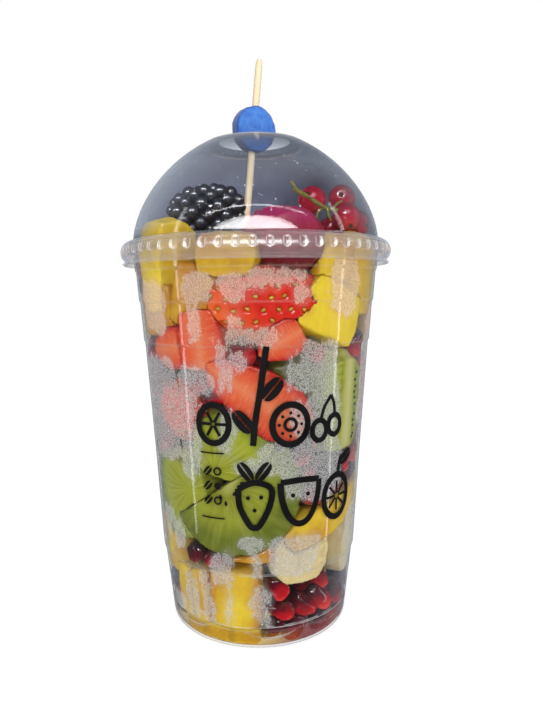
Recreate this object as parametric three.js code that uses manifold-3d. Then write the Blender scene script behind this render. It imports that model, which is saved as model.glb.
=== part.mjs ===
// A clear cup of cut fruit under a domed lid, with a wooden pick through the lid's hole.
// Millimetres, +Z up. The origin is the middle of the cup's foot, and the front faces -Y.
import * as THREE from "three";
import { mergeVertices } from "three/addons/utils/BufferGeometryUtils.js";
import Module from "manifold-3d";

const wasm = await Module();
wasm.setup();

// Driving dimensions
const GAP = 0.35; // clearance between neighbouring solids
const ROUND_STEPS = 24; // facets round the cup and the lid
const CUP_WALL = 0.8;
const FOOT_RADIUS = 34.2;
const FOOT_RING_INNER = 29.5; // the foot is a ring round a raised floor
const FLOOR_RADIUS = 27;
const FLOOR_UNDERSIDE = 4.2;
const LINE_HEIGHT = 28.6; // the stacking line low on the cup
const LEDGE_HEIGHTS = [108, 122.6, 133.8]; // three shallow steps under the rim
const LEDGE_STEP = 0.4;
const RIM_BOTTOM = 140.8;
const RIM_TOP = 143.6;
const RIM_RADIUS = 49; // the cup's 98 mm drinking rim
const JUICE_LEVEL = 6;
const LID_WALL = 0.7;
const LID_BRIM_RADIUS = 50.8;
const LID_BRIM_BOTTOM = 136.5;
const DOME_RADIUS = 46.3;
const DOME_BASE = 144;
const DOME_HEIGHT = 42.5; // height of the whole superellipse, above the hole's level
const DOME_POWER = 1.75;
const DOME_STEPS = 6;
const CROWN_RADIUS = 21.6; // where the dome turns into the flat crown
const HOLE_RADIUS = 13.2;
const HOLE_TOP = 182;
const PICK_TOP = new THREE.Vector3(2.2, 0, 212.2);
const PICK_END = new THREE.Vector3(-6.1, 0, 126);
const PICK_RADIUS = 1.35;
const DISC_CENTRE_HEIGHT = 187;
const DISC_RADIUS = 8.3;
const DISC_THICKNESS = 5;
const DISC_TURN = 30; // degrees that the disc's face turns away from the front
const CORE_DEPTH = 13; // how far the heap's core lies behind the wall
const CORE_TOP = [
  [24, 139],
  [14, 144.5],
  [0, 145.5],
]; // radius and height of the heap's domed top

// Outer radius of the cup at its main heights, from foot to rim
const CUP_STATIONS = [
  [2.2, 34.7],
  [LINE_HEIGHT, 37.3],
  [LINE_HEIGHT + 0.4, 37.8],
  [68, 40.2],
  [LEDGE_HEIGHTS[0], 42.9],
  [LEDGE_HEIGHTS[0] + 0.5, 42.9 + LEDGE_STEP],
  [LEDGE_HEIGHTS[1], 44.3],
  [LEDGE_HEIGHTS[1] + 0.5, 44.3 + LEDGE_STEP],
  [LEDGE_HEIGHTS[2], 45.5],
  [LEDGE_HEIGHTS[2] + 0.5, 45.5 + LEDGE_STEP],
  [RIM_BOTTOM, 46.3],
];

const degrees = THREE.MathUtils.degToRad;

// Seeded random numbers from 0 to 1
function randomSource(seed) {
  let state = seed;
  return () => {
    state = (state * 1664525 + 1013904223) % 4294967296;
    return state / 4294967296;
  };
}

function solidOf(geometry, matrix = new THREE.Matrix4()) {
  const bare = geometry.clone().applyMatrix4(matrix);
  bare.deleteAttribute("normal");
  bare.deleteAttribute("uv");
  const merged = mergeVertices(bare, 1e-4);
  const vertProperties = merged.attributes.position.array;
  const triVerts = new Uint32Array(merged.index.array);
  return new wasm.Manifold(new wasm.Mesh({ numProp: 3, vertProperties, triVerts }));
}

function largestBody(solid) {
  return solid.decompose().sort((a, b) => b.volume() - a.volume())[0];
}

function meshOf(name, solid, material) {
  const { vertProperties, triVerts } = solid.getMesh();
  const geometry = new THREE.BufferGeometry();
  geometry.setAttribute("position", new THREE.BufferAttribute(vertProperties, 3));
  geometry.setIndex(new THREE.BufferAttribute(triVerts, 1));
  geometry.computeVertexNormals();
  const mesh = new THREE.Mesh(geometry, material);
  mesh.name = name;
  return mesh;
}

// A body of revolution about Z from [radius, height] points
function revolve(points, steps = ROUND_STEPS) {
  const profile = points.map(([radius, height]) => new THREE.Vector2(radius, height));
  return new THREE.LatheGeometry(profile, steps).rotateX(Math.PI / 2);
}

// Radii

function between(stations, height) {
  const above = stations.findIndex((station) => station[0] >= height);
  if (above === 0) return stations[0][1];
  if (above < 0) return stations[stations.length - 1][1];
  const [z0, r0] = stations[above - 1];
  const [z1, r1] = stations[above];
  return r0 + ((r1 - r0) * (height - z0)) / (z1 - z0);
}

function domeRadius(height) {
  const rise = Math.min(1, (height - DOME_BASE) / DOME_HEIGHT);
  return DOME_RADIUS * (1 - rise ** DOME_POWER) ** (1 / DOME_POWER);
}

// The height at which the dome has a given radius
function domeHeight(radius) {
  const share = 1 - (radius / DOME_RADIUS) ** DOME_POWER;
  return DOME_BASE + DOME_HEIGHT * share ** (1 / DOME_POWER);
}

// The free radius inside the cup and the dome, which the fruit fills
function innerRadius(height) {
  if (height < DOME_BASE) return between(CUP_STATIONS, height) - CUP_WALL - GAP;
  return Math.min(domeRadius(height) - LID_WALL, 45.4) - GAP;
}

// Cup and lid

function cupSolid() {
  const outside = CUP_STATIONS.map(([height, radius]) => [radius, height]);
  const inside = CUP_STATIONS.map(([height, radius]) => [radius - CUP_WALL, height]).reverse();
  return solidOf(
    revolve([
      [0, FLOOR_UNDERSIDE],
      [FLOOR_RADIUS, FLOOR_UNDERSIDE],
      [FOOT_RING_INNER, 0],
      [FOOT_RADIUS - 0.5, 0],
      ...outside,
      [RIM_RADIUS, RIM_BOTTOM + 0.6],
      [RIM_RADIUS, RIM_TOP - 0.6],
      [RIM_RADIUS - 1, RIM_TOP],
      [46, RIM_TOP],
      ...inside,
      [FOOT_RADIUS - 1, CUP_WALL],
      [FOOT_RING_INNER + 0.3, CUP_WALL],
      [FLOOR_RADIUS + 0.3, FLOOR_UNDERSIDE + CUP_WALL],
      [0, FLOOR_UNDERSIDE + CUP_WALL],
    ]),
  );
}

function lidSolid() {
  const domePoints = (offset) =>
    Array.from({ length: DOME_STEPS + 1 }, (_, i) => {
      const angle = ((i + 0.35) / (DOME_STEPS + 0.35)) * Math.acos(CROWN_RADIUS / DOME_RADIUS);
      const radius = DOME_RADIUS * Math.cos(angle);
      return [radius - offset * Math.cos(angle), domeHeight(radius) - offset * Math.sin(angle)];
    });
  const points = [
    [LID_BRIM_RADIUS + 0.2, LID_BRIM_BOTTOM],
    [LID_BRIM_RADIUS, LID_BRIM_BOTTOM + 1.6],
    [LID_BRIM_RADIUS, 142.6],
    [LID_BRIM_RADIUS - 0.7, 144],
    [48.4, 144.9],
    [46.9, 144.7],
    ...domePoints(0),
    [HOLE_RADIUS + 0.5, HOLE_TOP],
    [HOLE_RADIUS, HOLE_TOP - LID_WALL / 2],
    [HOLE_RADIUS + 0.5, HOLE_TOP - LID_WALL],
    ...domePoints(LID_WALL).reverse(),
    [46.6, 144],
    [48.3, 144.1],
    [LID_BRIM_RADIUS - LID_WALL - 0.5, 143.4],
    [LID_BRIM_RADIUS - LID_WALL, 142.4],
    [LID_BRIM_RADIUS - LID_WALL, LID_BRIM_BOTTOM + 1.6],
    [LID_BRIM_RADIUS + 0.2 - LID_WALL, LID_BRIM_BOTTOM],
  ];
  return solidOf(revolve([...points, points[0]]));
}

function juiceSolid() {
  const floor = FLOOR_UNDERSIDE + CUP_WALL + GAP;
  return solidOf(
    revolve([
      [0, floor],
      [FLOOR_RADIUS + 0.5, floor],
      [FOOT_RING_INNER + 0.6, CUP_WALL + GAP],
      [FOOT_RADIUS - 1.5, CUP_WALL + GAP],
      [innerRadius(0), 2.2],
      [innerRadius(JUICE_LEVEL), JUICE_LEVEL],
      [0, JUICE_LEVEL],
    ]),
  );
}

// Pick and disc

function pickMatrix(centre) {
  const direction = PICK_TOP.clone().sub(PICK_END).normalize();
  const turn = new THREE.Quaternion().setFromUnitVectors(new THREE.Vector3(0, 1, 0), direction);
  return new THREE.Matrix4().compose(centre, turn, new THREE.Vector3(1, 1, 1));
}

function pickSolid(grow = 0) {
  const length = PICK_TOP.distanceTo(PICK_END);
  const radius = PICK_RADIUS + grow;
  const shaft = new THREE.CylinderGeometry(radius, radius, length + 2 * grow, 12);
  const centre = PICK_TOP.clone().add(PICK_END).multiplyScalar(0.5);
  return solidOf(shaft, pickMatrix(centre));
}

function discSolid() {
  const share = (DISC_CENTRE_HEIGHT - PICK_END.z) / (PICK_TOP.z - PICK_END.z);
  const centre = PICK_END.clone().lerp(PICK_TOP, share);
  const disc = new THREE.CylinderGeometry(DISC_RADIUS, DISC_RADIUS, DISC_THICKNESS, 24)
    .rotateX(Math.PI / 2)
    .rotateY(degrees(DISC_TURN));
  return solidOf(disc, pickMatrix(centre)).subtract(pickSolid(GAP));
}

// Fruit shapes. Each lies round its own middle: X to the right, Z up, -Y towards the wall.

// A superellipsoid, narrower upwards by its taper. A low power makes a round lump, from a ball's
// triangles, and a high one a block with rounded edges, from a cube's grid.
function block(width, depth, height, { power = 5, taper = 0, grid = [3, 2, 3] } = {}) {
  const ball = new THREE.IcosahedronGeometry(1, 1);
  const shape = power < 4 ? ball : new THREE.BoxGeometry(2, 2, 2, ...grid);
  const position = shape.attributes.position;
  const point = new THREE.Vector3();
  for (let i = 0; i < position.count; i++) {
    point.fromBufferAttribute(position, i);
    const sum = point.toArray().reduce((total, value) => total + Math.abs(value) ** power, 0);
    point.divideScalar(sum ** (1 / power));
    const side = 1 - taper * point.z;
    position.setXYZ(i, (point.x * side * width) / 2, (point.y * depth) / 2, (point.z * height) / 2);
  }
  return solidOf(shape);
}

// Everything on one side of a plane, as a box that is larger than any piece
function halfSpace(normal, distance) {
  const size = 200;
  const box = new THREE.BoxGeometry(size, size, size).translate(0, 0, distance - size / 2);
  const turn = new THREE.Quaternion().setFromUnitVectors(new THREE.Vector3(0, 0, 1), normal);
  return solidOf(box, new THREE.Matrix4().makeRotationFromQuaternion(turn));
}

function placed(solid, matrix) {
  return solid.transform(matrix.toArray());
}

// A strawberry with its tip down, whole across X and halved across Y
function strawberry(width, height, grow = 0) {
  const w = width / 2 + grow;
  const h = height / 2 + grow;
  const profile = [
    [0, -h],
    [0.5 * w, -0.74 * h],
    [0.95 * w, -0.05 * h],
    [0.95 * w, 0.5 * h],
    [0.6 * w, 0.92 * h],
    [0, 0.92 * h],
  ];
  return solidOf(revolve(profile, 10));
}

// Half a strawberry with the skin outwards
function strawberrySkin(width, depth, height, grow = 0) {
  const whole = strawberry(width, height, grow);
  return whole
    .scale([1, (2 * depth) / width, 1])
    .intersect(halfSpace(new THREE.Vector3(0, 1, 0), depth * 0.2 + grow));
}

// A slice of a strawberry with the cut face outwards
function strawberryCut(width, depth, height, grow = 0) {
  const whole = strawberry(width, height, grow);
  return whole
    .scale([1, (2 * depth) / width, 1])
    .intersect(halfSpace(new THREE.Vector3(0, -1, 0), depth * 0.3 + grow));
}

// A kiwi slice with its face outwards, cut straight across on the side that edgeAngle points to,
// this far past its middle
const KIWI_EDGE_DISTANCE = 2;

function kiwiSlice(radius, thickness, edgeAngle, grow = 0) {
  const r = radius + grow;
  const t = thickness / 2 + grow;
  const bevel = 0.1 * radius;
  const disc = revolve(
    [
      [0, -t],
      [r - bevel, -t],
      [r, -0.4 * t],
      [r, 0.4 * t],
      [r - bevel, t],
      [0, t],
    ],
    20,
  ).rotateX(Math.PI / 2);
  const angle = degrees(edgeAngle);
  const normal = new THREE.Vector3(Math.cos(angle), 0, Math.sin(angle));
  return solidOf(disc).intersect(halfSpace(normal, KIWI_EDGE_DISTANCE + grow));
}

// Puts a piece's own axes on the wall: azimuth 0 is the front, positive to the viewer's right.
// The piece turns about its upright axis, tilts about its width and rolls in the wall's plane.
function wallMatrix({ azimuth, height, inset, roll = 0, turn = 0, tilt = 0 }) {
  const angle = degrees(azimuth);
  const radius = innerRadius(height) - inset;
  const place = new THREE.Matrix4().makeRotationZ(angle);
  place.setPosition(radius * Math.sin(angle), -radius * Math.cos(angle), height);
  const own = new THREE.Euler(degrees(tilt), degrees(roll), degrees(turn), "YXZ");
  return place.multiply(new THREE.Matrix4().makeRotationFromEuler(own));
}

// The shape of one listed piece, larger all round by grow
function fruitShape({ form, size, edge, power, taper, grid }, grow) {
  const [w, d, h] = size;
  if (form === "skin") return strawberrySkin(w, d, h, grow);
  if (form === "cut") return strawberryCut(w, d, h, grow);
  if (form === "slice") return kiwiSlice(w / 2, d, edge, grow);
  return block(w + 2 * grow, d + 2 * grow, h + 2 * grow, { power, taper, grid });
}

// Fruit at the front, nearest the viewer first: the first word of a name is its kind.
// A size is width, depth into the cup and height, and at says where its middle lies.
const FRONT = [
  {
    name: "strawberry_wedge",
    form: "cut",
    size: [14, 8, 17],
    at: { azimuth: 11, height: 109.6, inset: 2, roll: 60 },
  },
  {
    name: "strawberry_long",
    form: "cut",
    size: [22, 9, 43],
    at: { azimuth: 0, height: 91, inset: 2, roll: 124 },
  },
  {
    name: "strawberry_left",
    size: [17.5, 11, 22],
    taper: 0.15,
    at: { azimuth: -27, height: 110.5, inset: 4.5, roll: -6 },
  },
  {
    name: "strawberry_big",
    form: "skin",
    size: [42, 13, 29],
    at: { azimuth: 3, height: 121, inset: 10, roll: -6 },
  },
  {
    name: "mango_right",
    size: [29, 20, 21],
    taper: 0.08,
    at: { azimuth: 38, height: 119.5, inset: 8, roll: 22 },
  },
  {
    name: "strawberry_side",
    form: "cut",
    size: [16, 10, 20],
    at: { azimuth: -46, height: 107, inset: 2, roll: 85 },
  },
  {
    name: "mango_wedge",
    size: [18, 18, 34],
    taper: -0.25,
    at: { azimuth: -56, height: 135, inset: 7 },
  },
  { name: "mango_centre", size: [21, 16, 15], at: { azimuth: -13, height: 138, inset: 6 } },
  { name: "mango_amber", size: [16, 16, 24], at: { azimuth: -30, height: 125, inset: 6, roll: 15 } },
  { name: "mango_side", size: [24, 16, 18], at: { azimuth: -56, height: 120, inset: 6, roll: -10 } },
  { name: "mango_top", size: [24, 13, 30], at: { azimuth: 61, height: 132, inset: 5 } },
  {
    name: "dragonfruit",
    size: [25, 30, 23],
    power: 3,
    at: { azimuth: 16, height: 142.5, inset: 13, turn: 10 },
  },
  { name: "mango_fog", size: [15, 14, 17], at: { azimuth: 36, height: 137, inset: 5 } },
  {
    name: "strawberry_fog",
    form: "skin",
    size: [26, 12, 24],
    at: { azimuth: -47, height: 84, inset: 9, roll: 25 },
  },
  { name: "kiwi_right", size: [26, 14, 38], power: 3, at: { azimuth: 50, height: 88, inset: 5 } },
  { name: "kiwi_shade", size: [20, 12, 18], power: 3, at: { azimuth: 22, height: 97, inset: 8 } },
  {
    name: "kiwi_half",
    form: "slice",
    size: [48, 13, 48],
    edge: 125,
    at: { azimuth: -15, height: 59, inset: 5 },
  },
  { name: "kiwi_upper", size: [28, 14, 26], power: 3, at: { azimuth: -13, height: 75, inset: 5, roll: 12 } },
  { name: "kiwi_side", size: [30, 16, 34], power: 3, at: { azimuth: -49, height: 54, inset: 6, roll: -12 } },
  { name: "mango_slant", size: [40, 14, 13], at: { azimuth: 44, height: 46, inset: 4, roll: -16 } },
  { name: "melon_front", size: [22, 14, 21], power: 3, at: { azimuth: 25, height: 34, inset: 5 } },
  { name: "melon_right", size: [18, 14, 24], power: 3, at: { azimuth: 68, height: 32, inset: 5 } },
  { name: "mango_low", size: [18, 14, 16], at: { azimuth: -3, height: 40, inset: 7 } },
  { name: "mango_block", size: [20, 16, 24], at: { azimuth: -15, height: 18.5, inset: 6 } },
  { name: "mango_strip_1", size: [8, 14, 22], at: { azimuth: -37, height: 17.5, inset: 5 } },
  { name: "mango_strip_2", size: [8, 14, 22], at: { azimuth: -51, height: 17.5, inset: 5 } },
  { name: "mango_edge", size: [20, 14, 24], at: { azimuth: -64, height: 34, inset: 5 } },
];

// Fruit round the back, in rows of four from the right-hand side round to the left
const BACK_FROM = 74;
const BACK_TO = 276;
const BACK_ROWS = [22, 54.5, 87, 119.5];
const BACK_HEIGHT = 32.5;
const BACK_DEPTH = 15;
const BACK_COLUMNS = 4;
const BACK_KINDS = ["mango", "kiwi", "strawberry", "melon", "mango", "strawberry"];

function backPieces() {
  const random = randomSource(7);
  const pieces = [];
  BACK_ROWS.forEach((rowHeight, row) => {
    const span = (BACK_TO - BACK_FROM) / BACK_COLUMNS;
    for (let column = 0; column < BACK_COLUMNS; column++) {
      if (row === 0 && column === 0) continue; // pomegranate seeds lie there
      const kind = BACK_KINDS[(row * BACK_COLUMNS + column) % BACK_KINDS.length];
      const azimuth = BACK_FROM + span * (column + 0.5) + (row % 2 ? 3 : -2);
      const height = rowHeight + (row ? 3 * (random() - 0.5) : 0);
      const width = degrees(span) * (innerRadius(height) - 1) - 2 * random();
      pieces.push({
        name: kind + "_back_" + (pieces.length + 1),
        form: kind === "strawberry" ? "skin" : undefined,
        size: [width, kind === "strawberry" ? 12 : BACK_DEPTH, BACK_HEIGHT],
        at: { azimuth, height, inset: 6, roll: row ? 10 * (random() - 0.5) : 0 },
        grid: [2, 2, 2],
      });
    }
  });
  ["mango", "strawberry", "kiwi"].forEach((kind, i) => {
    pieces.push({
      name: kind + "_crest",
      size: [30, 18, 15 - 2 * (i % 2)],
      power: 3,
      at: { azimuth: 112 + 64 * i, height: 143 + (i % 2), inset: 9, tilt: 8 },
    });
  });
  return pieces;
}

// Dark berry: a core with drupelets in rings round its long axis
const BERRY_CENTRE = new THREE.Vector3(-17.2, -17, 155.2);
const BERRY_HALF_LENGTH = 14.5;
const BERRY_HALF_WIDTH = 8.6;
const BERRY_LEAN = -8;
const BERRY_CORE = [13.6, 8.6, 8.6];
const BERRY_RINGS = 5;
const DRUPELET_RADIUS = 2.5;
const DRUPELET_SPACING = 5.6;

function berrySolid() {
  const random = randomSource(3);
  const drupelet = (x, y, z) => {
    const shape = new THREE.IcosahedronGeometry(DRUPELET_RADIUS, 0)
      .rotateX(random() * Math.PI)
      .rotateZ(random() * Math.PI)
      .translate(x, y, z);
    return solidOf(shape);
  };
  const core = new THREE.IcosahedronGeometry(1, 0).scale(...BERRY_CORE);
  const solids = [solidOf(core)];
  for (let ring = 0; ring < BERRY_RINGS; ring++) {
    const share = ((ring + 0.5) / BERRY_RINGS) * 2 - 1;
    const x = share * (BERRY_HALF_LENGTH - 0.8);
    const ringRadius = (BERRY_HALF_WIDTH - 1.7) * Math.sqrt(1 - 0.85 * share * share);
    const count = Math.round((2 * Math.PI * ringRadius) / DRUPELET_SPACING);
    for (let i = 0; i < count; i++) {
      const angle = ((i + (ring % 2) / 2) / count) * 2 * Math.PI;
      solids.push(drupelet(x, ringRadius * Math.cos(angle), ringRadius * Math.sin(angle)));
    }
  }
  return placed(wasm.Manifold.union(solids), berryMatrix());
}

function berryMatrix() {
  const lean = new THREE.Matrix4().makeRotationY(degrees(BERRY_LEAN));
  return lean.setPosition(BERRY_CENTRE);
}

// A smooth shape that holds the berry, which its neighbours keep clear of
function berrySpace() {
  return solidOf(new THREE.IcosahedronGeometry(1, 1).scale(16.4, 11.4, 11.4), berryMatrix());
}

// Red currants and the stalk they hang from
const CURRANT_RADIUS = 4.8;
const CURRANTS = [
  [19.7, -22, 157.5],
  [31.6, -11.2, 159.7],
  [32.1, -19.4, 151.9],
  [27.6, -10.6, 148.4],
  [37.6, -8.6, 151],
];
const STALK = [
  [12.8, -28.4, 160.3],
  [17.8, -28.4, 157.6],
  [23.6, -28.4, 153.9],
  [28, -27, 153.2],
];
const STALK_RADIUS = 0.8;

function currantSolid([x, y, z], grow = 0) {
  return solidOf(new THREE.IcosahedronGeometry(CURRANT_RADIUS + grow, 1).translate(x, y, z));
}

function stalkSolid(grow = 0) {
  const path = new THREE.CatmullRomCurve3(STALK.map((point) => new THREE.Vector3(...point)));
  const section = new THREE.Shape().absarc(0, 0, STALK_RADIUS + grow, 0, 2 * Math.PI);
  const tube = new THREE.ExtrudeGeometry(section, {
    steps: 10,
    extrudePath: path,
    bevelEnabled: false,
    curveSegments: 3,
  });
  return solidOf(tube);
}

// Pomegranate seeds in the gaps: each patch is as wide as its azimuths and as high as its heights
const SEED_SIZE = [3.8, 3.6, 4.9]; // half its width, depth and height
const SEED_ROW_STEP = 7.8;
const SEED_STEP = 9.6;
const SEED_BACKING_DEPTH = 5.5; // how far behind the wall the seeds' own backing lies
const SEED_PATCHES = [
  { from: -4, to: 74, bottom: 9.5, top: 29, seed: 11 },
  { from: 24, to: 66, bottom: 51, top: 70, seed: 23 },
  { from: -56, to: -26, bottom: 25, top: 38, seed: 31 },
];

function seedPatch({ from, to, bottom, top, seed }) {
  const random = randomSource(seed);
  const solids = [];
  const middle = { azimuth: (from + to) / 2, height: (bottom + top) / 2 };
  for (let height = bottom; height <= top; height += SEED_ROW_STEP) {
    const step = SEED_STEP / degrees(1) / innerRadius(height);
    const odd = Math.round((height - bottom) / SEED_ROW_STEP) % 2;
    for (let azimuth = from + (odd * step) / 2; azimuth <= to; azimuth += step) {
      const turned = new THREE.IcosahedronGeometry(1, 0).rotateY(random()).scale(...SEED_SIZE);
      const at = {
        azimuth: azimuth + random() - 0.5,
        height: height + random() - 0.5,
        inset: 3.5 + random(),
        roll: 180 * random(),
        tilt: 40 * (random() - 0.5),
      };
      solids.push(solidOf(turned, wallMatrix(at)));
    }
  }
  const backingRadius = innerRadius(middle.height) - SEED_BACKING_DEPTH;
  const backing = revolve([
    [0, bottom - 2],
    [backingRadius, bottom - 2],
    [backingRadius, top + 2],
    [0, top + 2],
  ]);
  const sector = new THREE.BoxGeometry(100, 50, 60).translate(0, -25, 0);
  const halfAngle = (to - from) / 2;
  const sides = [halfAngle, -halfAngle].map((angle) => {
    const turned = sector.clone().rotateZ(degrees(angle + (angle > 0 ? -90 : 90)));
    return solidOf(turned.rotateZ(degrees(middle.azimuth)).translate(0, 0, middle.height));
  });
  solids.push(solidOf(backing).intersect(sides[0]).intersect(sides[1]));
  return solids;
}

// The heap behind the pieces, which the seeds are fused to
function coreSolid(grow = 0) {
  const heights = [JUICE_LEVEL + GAP - grow, 50, 100, 130];
  return solidOf(
    revolve(
      [
        [0, heights[0]],
        ...heights.map((height) => [innerRadius(height) - CORE_DEPTH + grow, height]),
        ...CORE_TOP.map(([radius, height]) => [radius && radius + grow, height + grow]),
      ],
      16,
    ),
  );
}

function contentsSpace() {
  const heights = [JUICE_LEVEL + GAP, LINE_HEIGHT, 107, 143.5, 150, 157, 165];
  const wall = heights.map((height) => [innerRadius(height), height]);
  return solidOf(revolve([[0, heights[0]], ...wall, [0, 170]]));
}

const MATERIALS = {
  cup: { color: 0xe9eef2, roughness: 0.05, transparent: true, opacity: 0.3 },
  juice: { color: 0xc8963c, roughness: 0.1, transparent: true, opacity: 0.6 },
  wood: { color: 0xe6d3a8, roughness: 0.75 },
  felt: { color: 0x3c78d7, roughness: 0.95 },
  mango: { color: 0xe6c03a, roughness: 0.35 },
  strawberry: { color: 0xdc4a28, roughness: 0.3 },
  kiwi: { color: 0xa4b83c, roughness: 0.35 },
  melon: { color: 0xe0cf9a, roughness: 0.4 },
  dragonfruit: { color: 0x8c1040, roughness: 0.35 },
  berry: { color: 0x16181f, roughness: 0.3 },
  currant: { color: 0x98142c, roughness: 0.15 },
  stalk: { color: 0x7d7420, roughness: 0.7 },
  pomegranate: { color: 0x5c0a1c, roughness: 0.15 },
};
const materials = Object.fromEntries(
  Object.entries(MATERIALS).map(([kind, look]) => [kind, new THREE.MeshStandardMaterial(look)]),
);

// Solids already in place, each with its clearance shape
const taken = [];

function overlaps(a, b) {
  const [p, q] = [a.boundingBox(), b.boundingBox()];
  return [0, 1, 2].every((i) => p.min[i] < q.max[i] && q.min[i] < p.max[i]);
}

function clearOf(solid, others) {
  const close = others.filter((other) => overlaps(solid, other));
  return close.reduce((rest, other) => rest.subtract(other), solid);
}

const fruitCup = new THREE.Group();
fruitCup.add(meshOf("cup", cupSolid(), materials.cup));
fruitCup.add(meshOf("lid", lidSolid(), materials.cup));
fruitCup.add(meshOf("juice", juiceSolid(), materials.juice));
fruitCup.add(meshOf("pick", pickSolid(), materials.wood));
fruitCup.add(meshOf("pick_disc", discSolid(), materials.felt));
taken.push(pickSolid(GAP));

fruitCup.add(meshOf("dark_berry", berrySolid(), materials.berry));
taken.push(berrySpace());

const stalkSpace = stalkSolid(GAP);
fruitCup.add(meshOf("currant_stalk", stalkSolid(), materials.stalk));
taken.push(stalkSpace);
CURRANTS.forEach((centre, i) => {
  fruitCup.add(meshOf("currant_" + (i + 1), currantSolid(centre), materials.currant));
  taken.push(currantSolid(centre, GAP));
});

const space = contentsSpace();
const core = coreSolid(GAP);
[...FRONT, ...backPieces()].forEach((piece) => {
  const matrix = wallMatrix(piece.at);
  const whole = placed(fruitShape(piece, 0), matrix).intersect(space);
  const solid = largestBody(clearOf(whole, [core, ...taken]));
  fruitCup.add(meshOf(piece.name, solid, materials[piece.name.split("_")[0]]));
  taken.push(placed(fruitShape(piece, GAP), matrix));
});

// The pieces were cut clear of the core, so only the seeds have to be cut clear of the pieces
const seeds = wasm.Manifold.union(SEED_PATCHES.flatMap(seedPatch)).intersect(space);
const heap = wasm.Manifold.union([
  coreSolid().subtract(pickSolid(GAP)),
  clearOf(seeds, taken),
]);
fruitCup.add(meshOf("pomegranate_heap", largestBody(heap), materials.pomegranate));

export default fruitCup;
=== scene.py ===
import math

import bmesh
import bpy
import numpy as np
from mathutils import Matrix, Vector
from mathutils.bvhtree import BVHTree


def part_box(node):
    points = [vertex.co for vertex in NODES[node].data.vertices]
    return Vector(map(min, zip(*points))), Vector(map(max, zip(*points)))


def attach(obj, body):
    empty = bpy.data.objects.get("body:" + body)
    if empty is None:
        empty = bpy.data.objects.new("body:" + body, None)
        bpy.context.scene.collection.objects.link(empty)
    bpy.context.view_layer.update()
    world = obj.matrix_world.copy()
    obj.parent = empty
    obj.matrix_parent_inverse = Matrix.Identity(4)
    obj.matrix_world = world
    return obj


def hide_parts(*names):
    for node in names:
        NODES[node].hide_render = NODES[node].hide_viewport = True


# A clear plastic cup of cut fruit under a domed lid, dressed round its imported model.
# Lengths here are millimetres until a mesh is made, and metres in the materials and the studio.
# Azimuth 0 is the front (-Y), in degrees, and grows to the viewer's right.

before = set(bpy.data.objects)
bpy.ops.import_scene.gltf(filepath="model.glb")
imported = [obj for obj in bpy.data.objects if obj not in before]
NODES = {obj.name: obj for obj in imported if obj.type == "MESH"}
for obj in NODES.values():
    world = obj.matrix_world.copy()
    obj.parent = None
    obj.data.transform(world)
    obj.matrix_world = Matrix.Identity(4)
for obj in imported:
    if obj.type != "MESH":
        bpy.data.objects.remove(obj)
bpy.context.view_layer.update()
MM = 0.001

# The cup: outer radius at its main heights, as in the CAD model
CUP_WALL = 0.8
CUP_HEIGHTS = [0, 2.2, 28.6, 29.0, 68, 108, 108.5, 122.6, 123.1, 133.8, 134.3, 140.8]
CUP_RADII = [34.2, 34.7, 37.3, 37.8, 40.2, 42.9, 43.3, 44.3, 44.7, 45.5, 45.9, 46.3]
DOME_BASE = 144
DOME_RADIUS = 46.3
DOME_HEIGHT = 42.5
DOME_POWER = 1.75
DOME_LIMIT = 45.4  # the widest that anything under the dome may reach
LID_WALL = 0.7
JUICE_LEVEL = 6
REACH = 0.12  # how far the fruit reaches into the wall
WELD = 1e-7  # points closer than this, in metres, become one
STRAIGHT = 0.01  # the most bend, as a sine, that still counts as straight
ASLANT = np.array([0.31, 0.92, 0.21])  # a way that no tube here runs

rng = np.random.default_rng(5)


# ---------------------------------------------------------------- numbers

def smoothstep(low, high, x):
    t = np.clip((np.asarray(x, float) - low) / (high - low), 0, 1)
    return t * t * (3 - 2 * t)


def value_noise(points, cell, seed):
    """Smooth noise from 0 to 1 with features of about one cell."""
    q = np.asarray(points, float) / cell
    base = np.floor(q).astype(np.int64)
    f = q - base
    f = f * f * (3 - 2 * f)
    total = np.zeros(len(q))
    for corner in np.ndindex(2, 2, 2):
        c = base + np.array(corner)
        h = (c[:, 0] * 73856093) ^ (c[:, 1] * 19349663) ^ (c[:, 2] * 83492791) ^ (seed * 97531)
        h = ((h ^ (h >> 13)) * 1274126177) & 0xFFFFFFFF
        value = ((h ^ (h >> 16)) & 0xFFFF) / 65535
        total += value * np.prod(np.where(corner, f, 1 - f), axis=1)
    return total


def unevenness(points, cell, seed):
    """The same noise from -0.5 to 0.5."""
    return value_noise(points, cell, seed) - 0.5


def wall_radius(z):
    """The inner radius of the cup, and above it of the dome."""
    z = np.asarray(z, float)
    cup = np.interp(z, CUP_HEIGHTS, CUP_RADII) - CUP_WALL
    rise = np.clip((z - DOME_BASE) / DOME_HEIGHT, 0, 1)
    dome = DOME_RADIUS * (1 - rise**DOME_POWER) ** (1 / DOME_POWER) - LID_WALL
    return np.where(z < DOME_BASE, cup, np.minimum(dome, DOME_LIMIT))


def polar(points):
    """The azimuth of each point and how far it lies from the axis."""
    azimuth = np.degrees(np.arctan2(points[:, 0], -points[:, 1]))
    return azimuth, np.hypot(points[:, 0], points[:, 1])


def on_wall(azimuth, z, radius):
    """Points at these azimuths, heights and distances from the axis."""
    a = np.radians(azimuth)
    return np.stack([radius * np.sin(a), -radius * np.cos(a), z + 0 * a], axis=-1)


def within(points, limit):
    """The points, with those farther from the axis than the limit drawn back to it."""
    azimuth, radius = polar(points)
    return on_wall(azimuth, points[:, 2], np.minimum(radius, limit))


def within_wall(points, reach):
    """The points, with none farther out than this reach into the wall."""
    return within(points, wall_radius(points[:, 2]) + reach)


def unit(way):
    """The same way, of length 1."""
    return way / np.linalg.norm(way)


def turned(angle, axis, size=3):
    return Matrix.Rotation(angle, size, axis)


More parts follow.
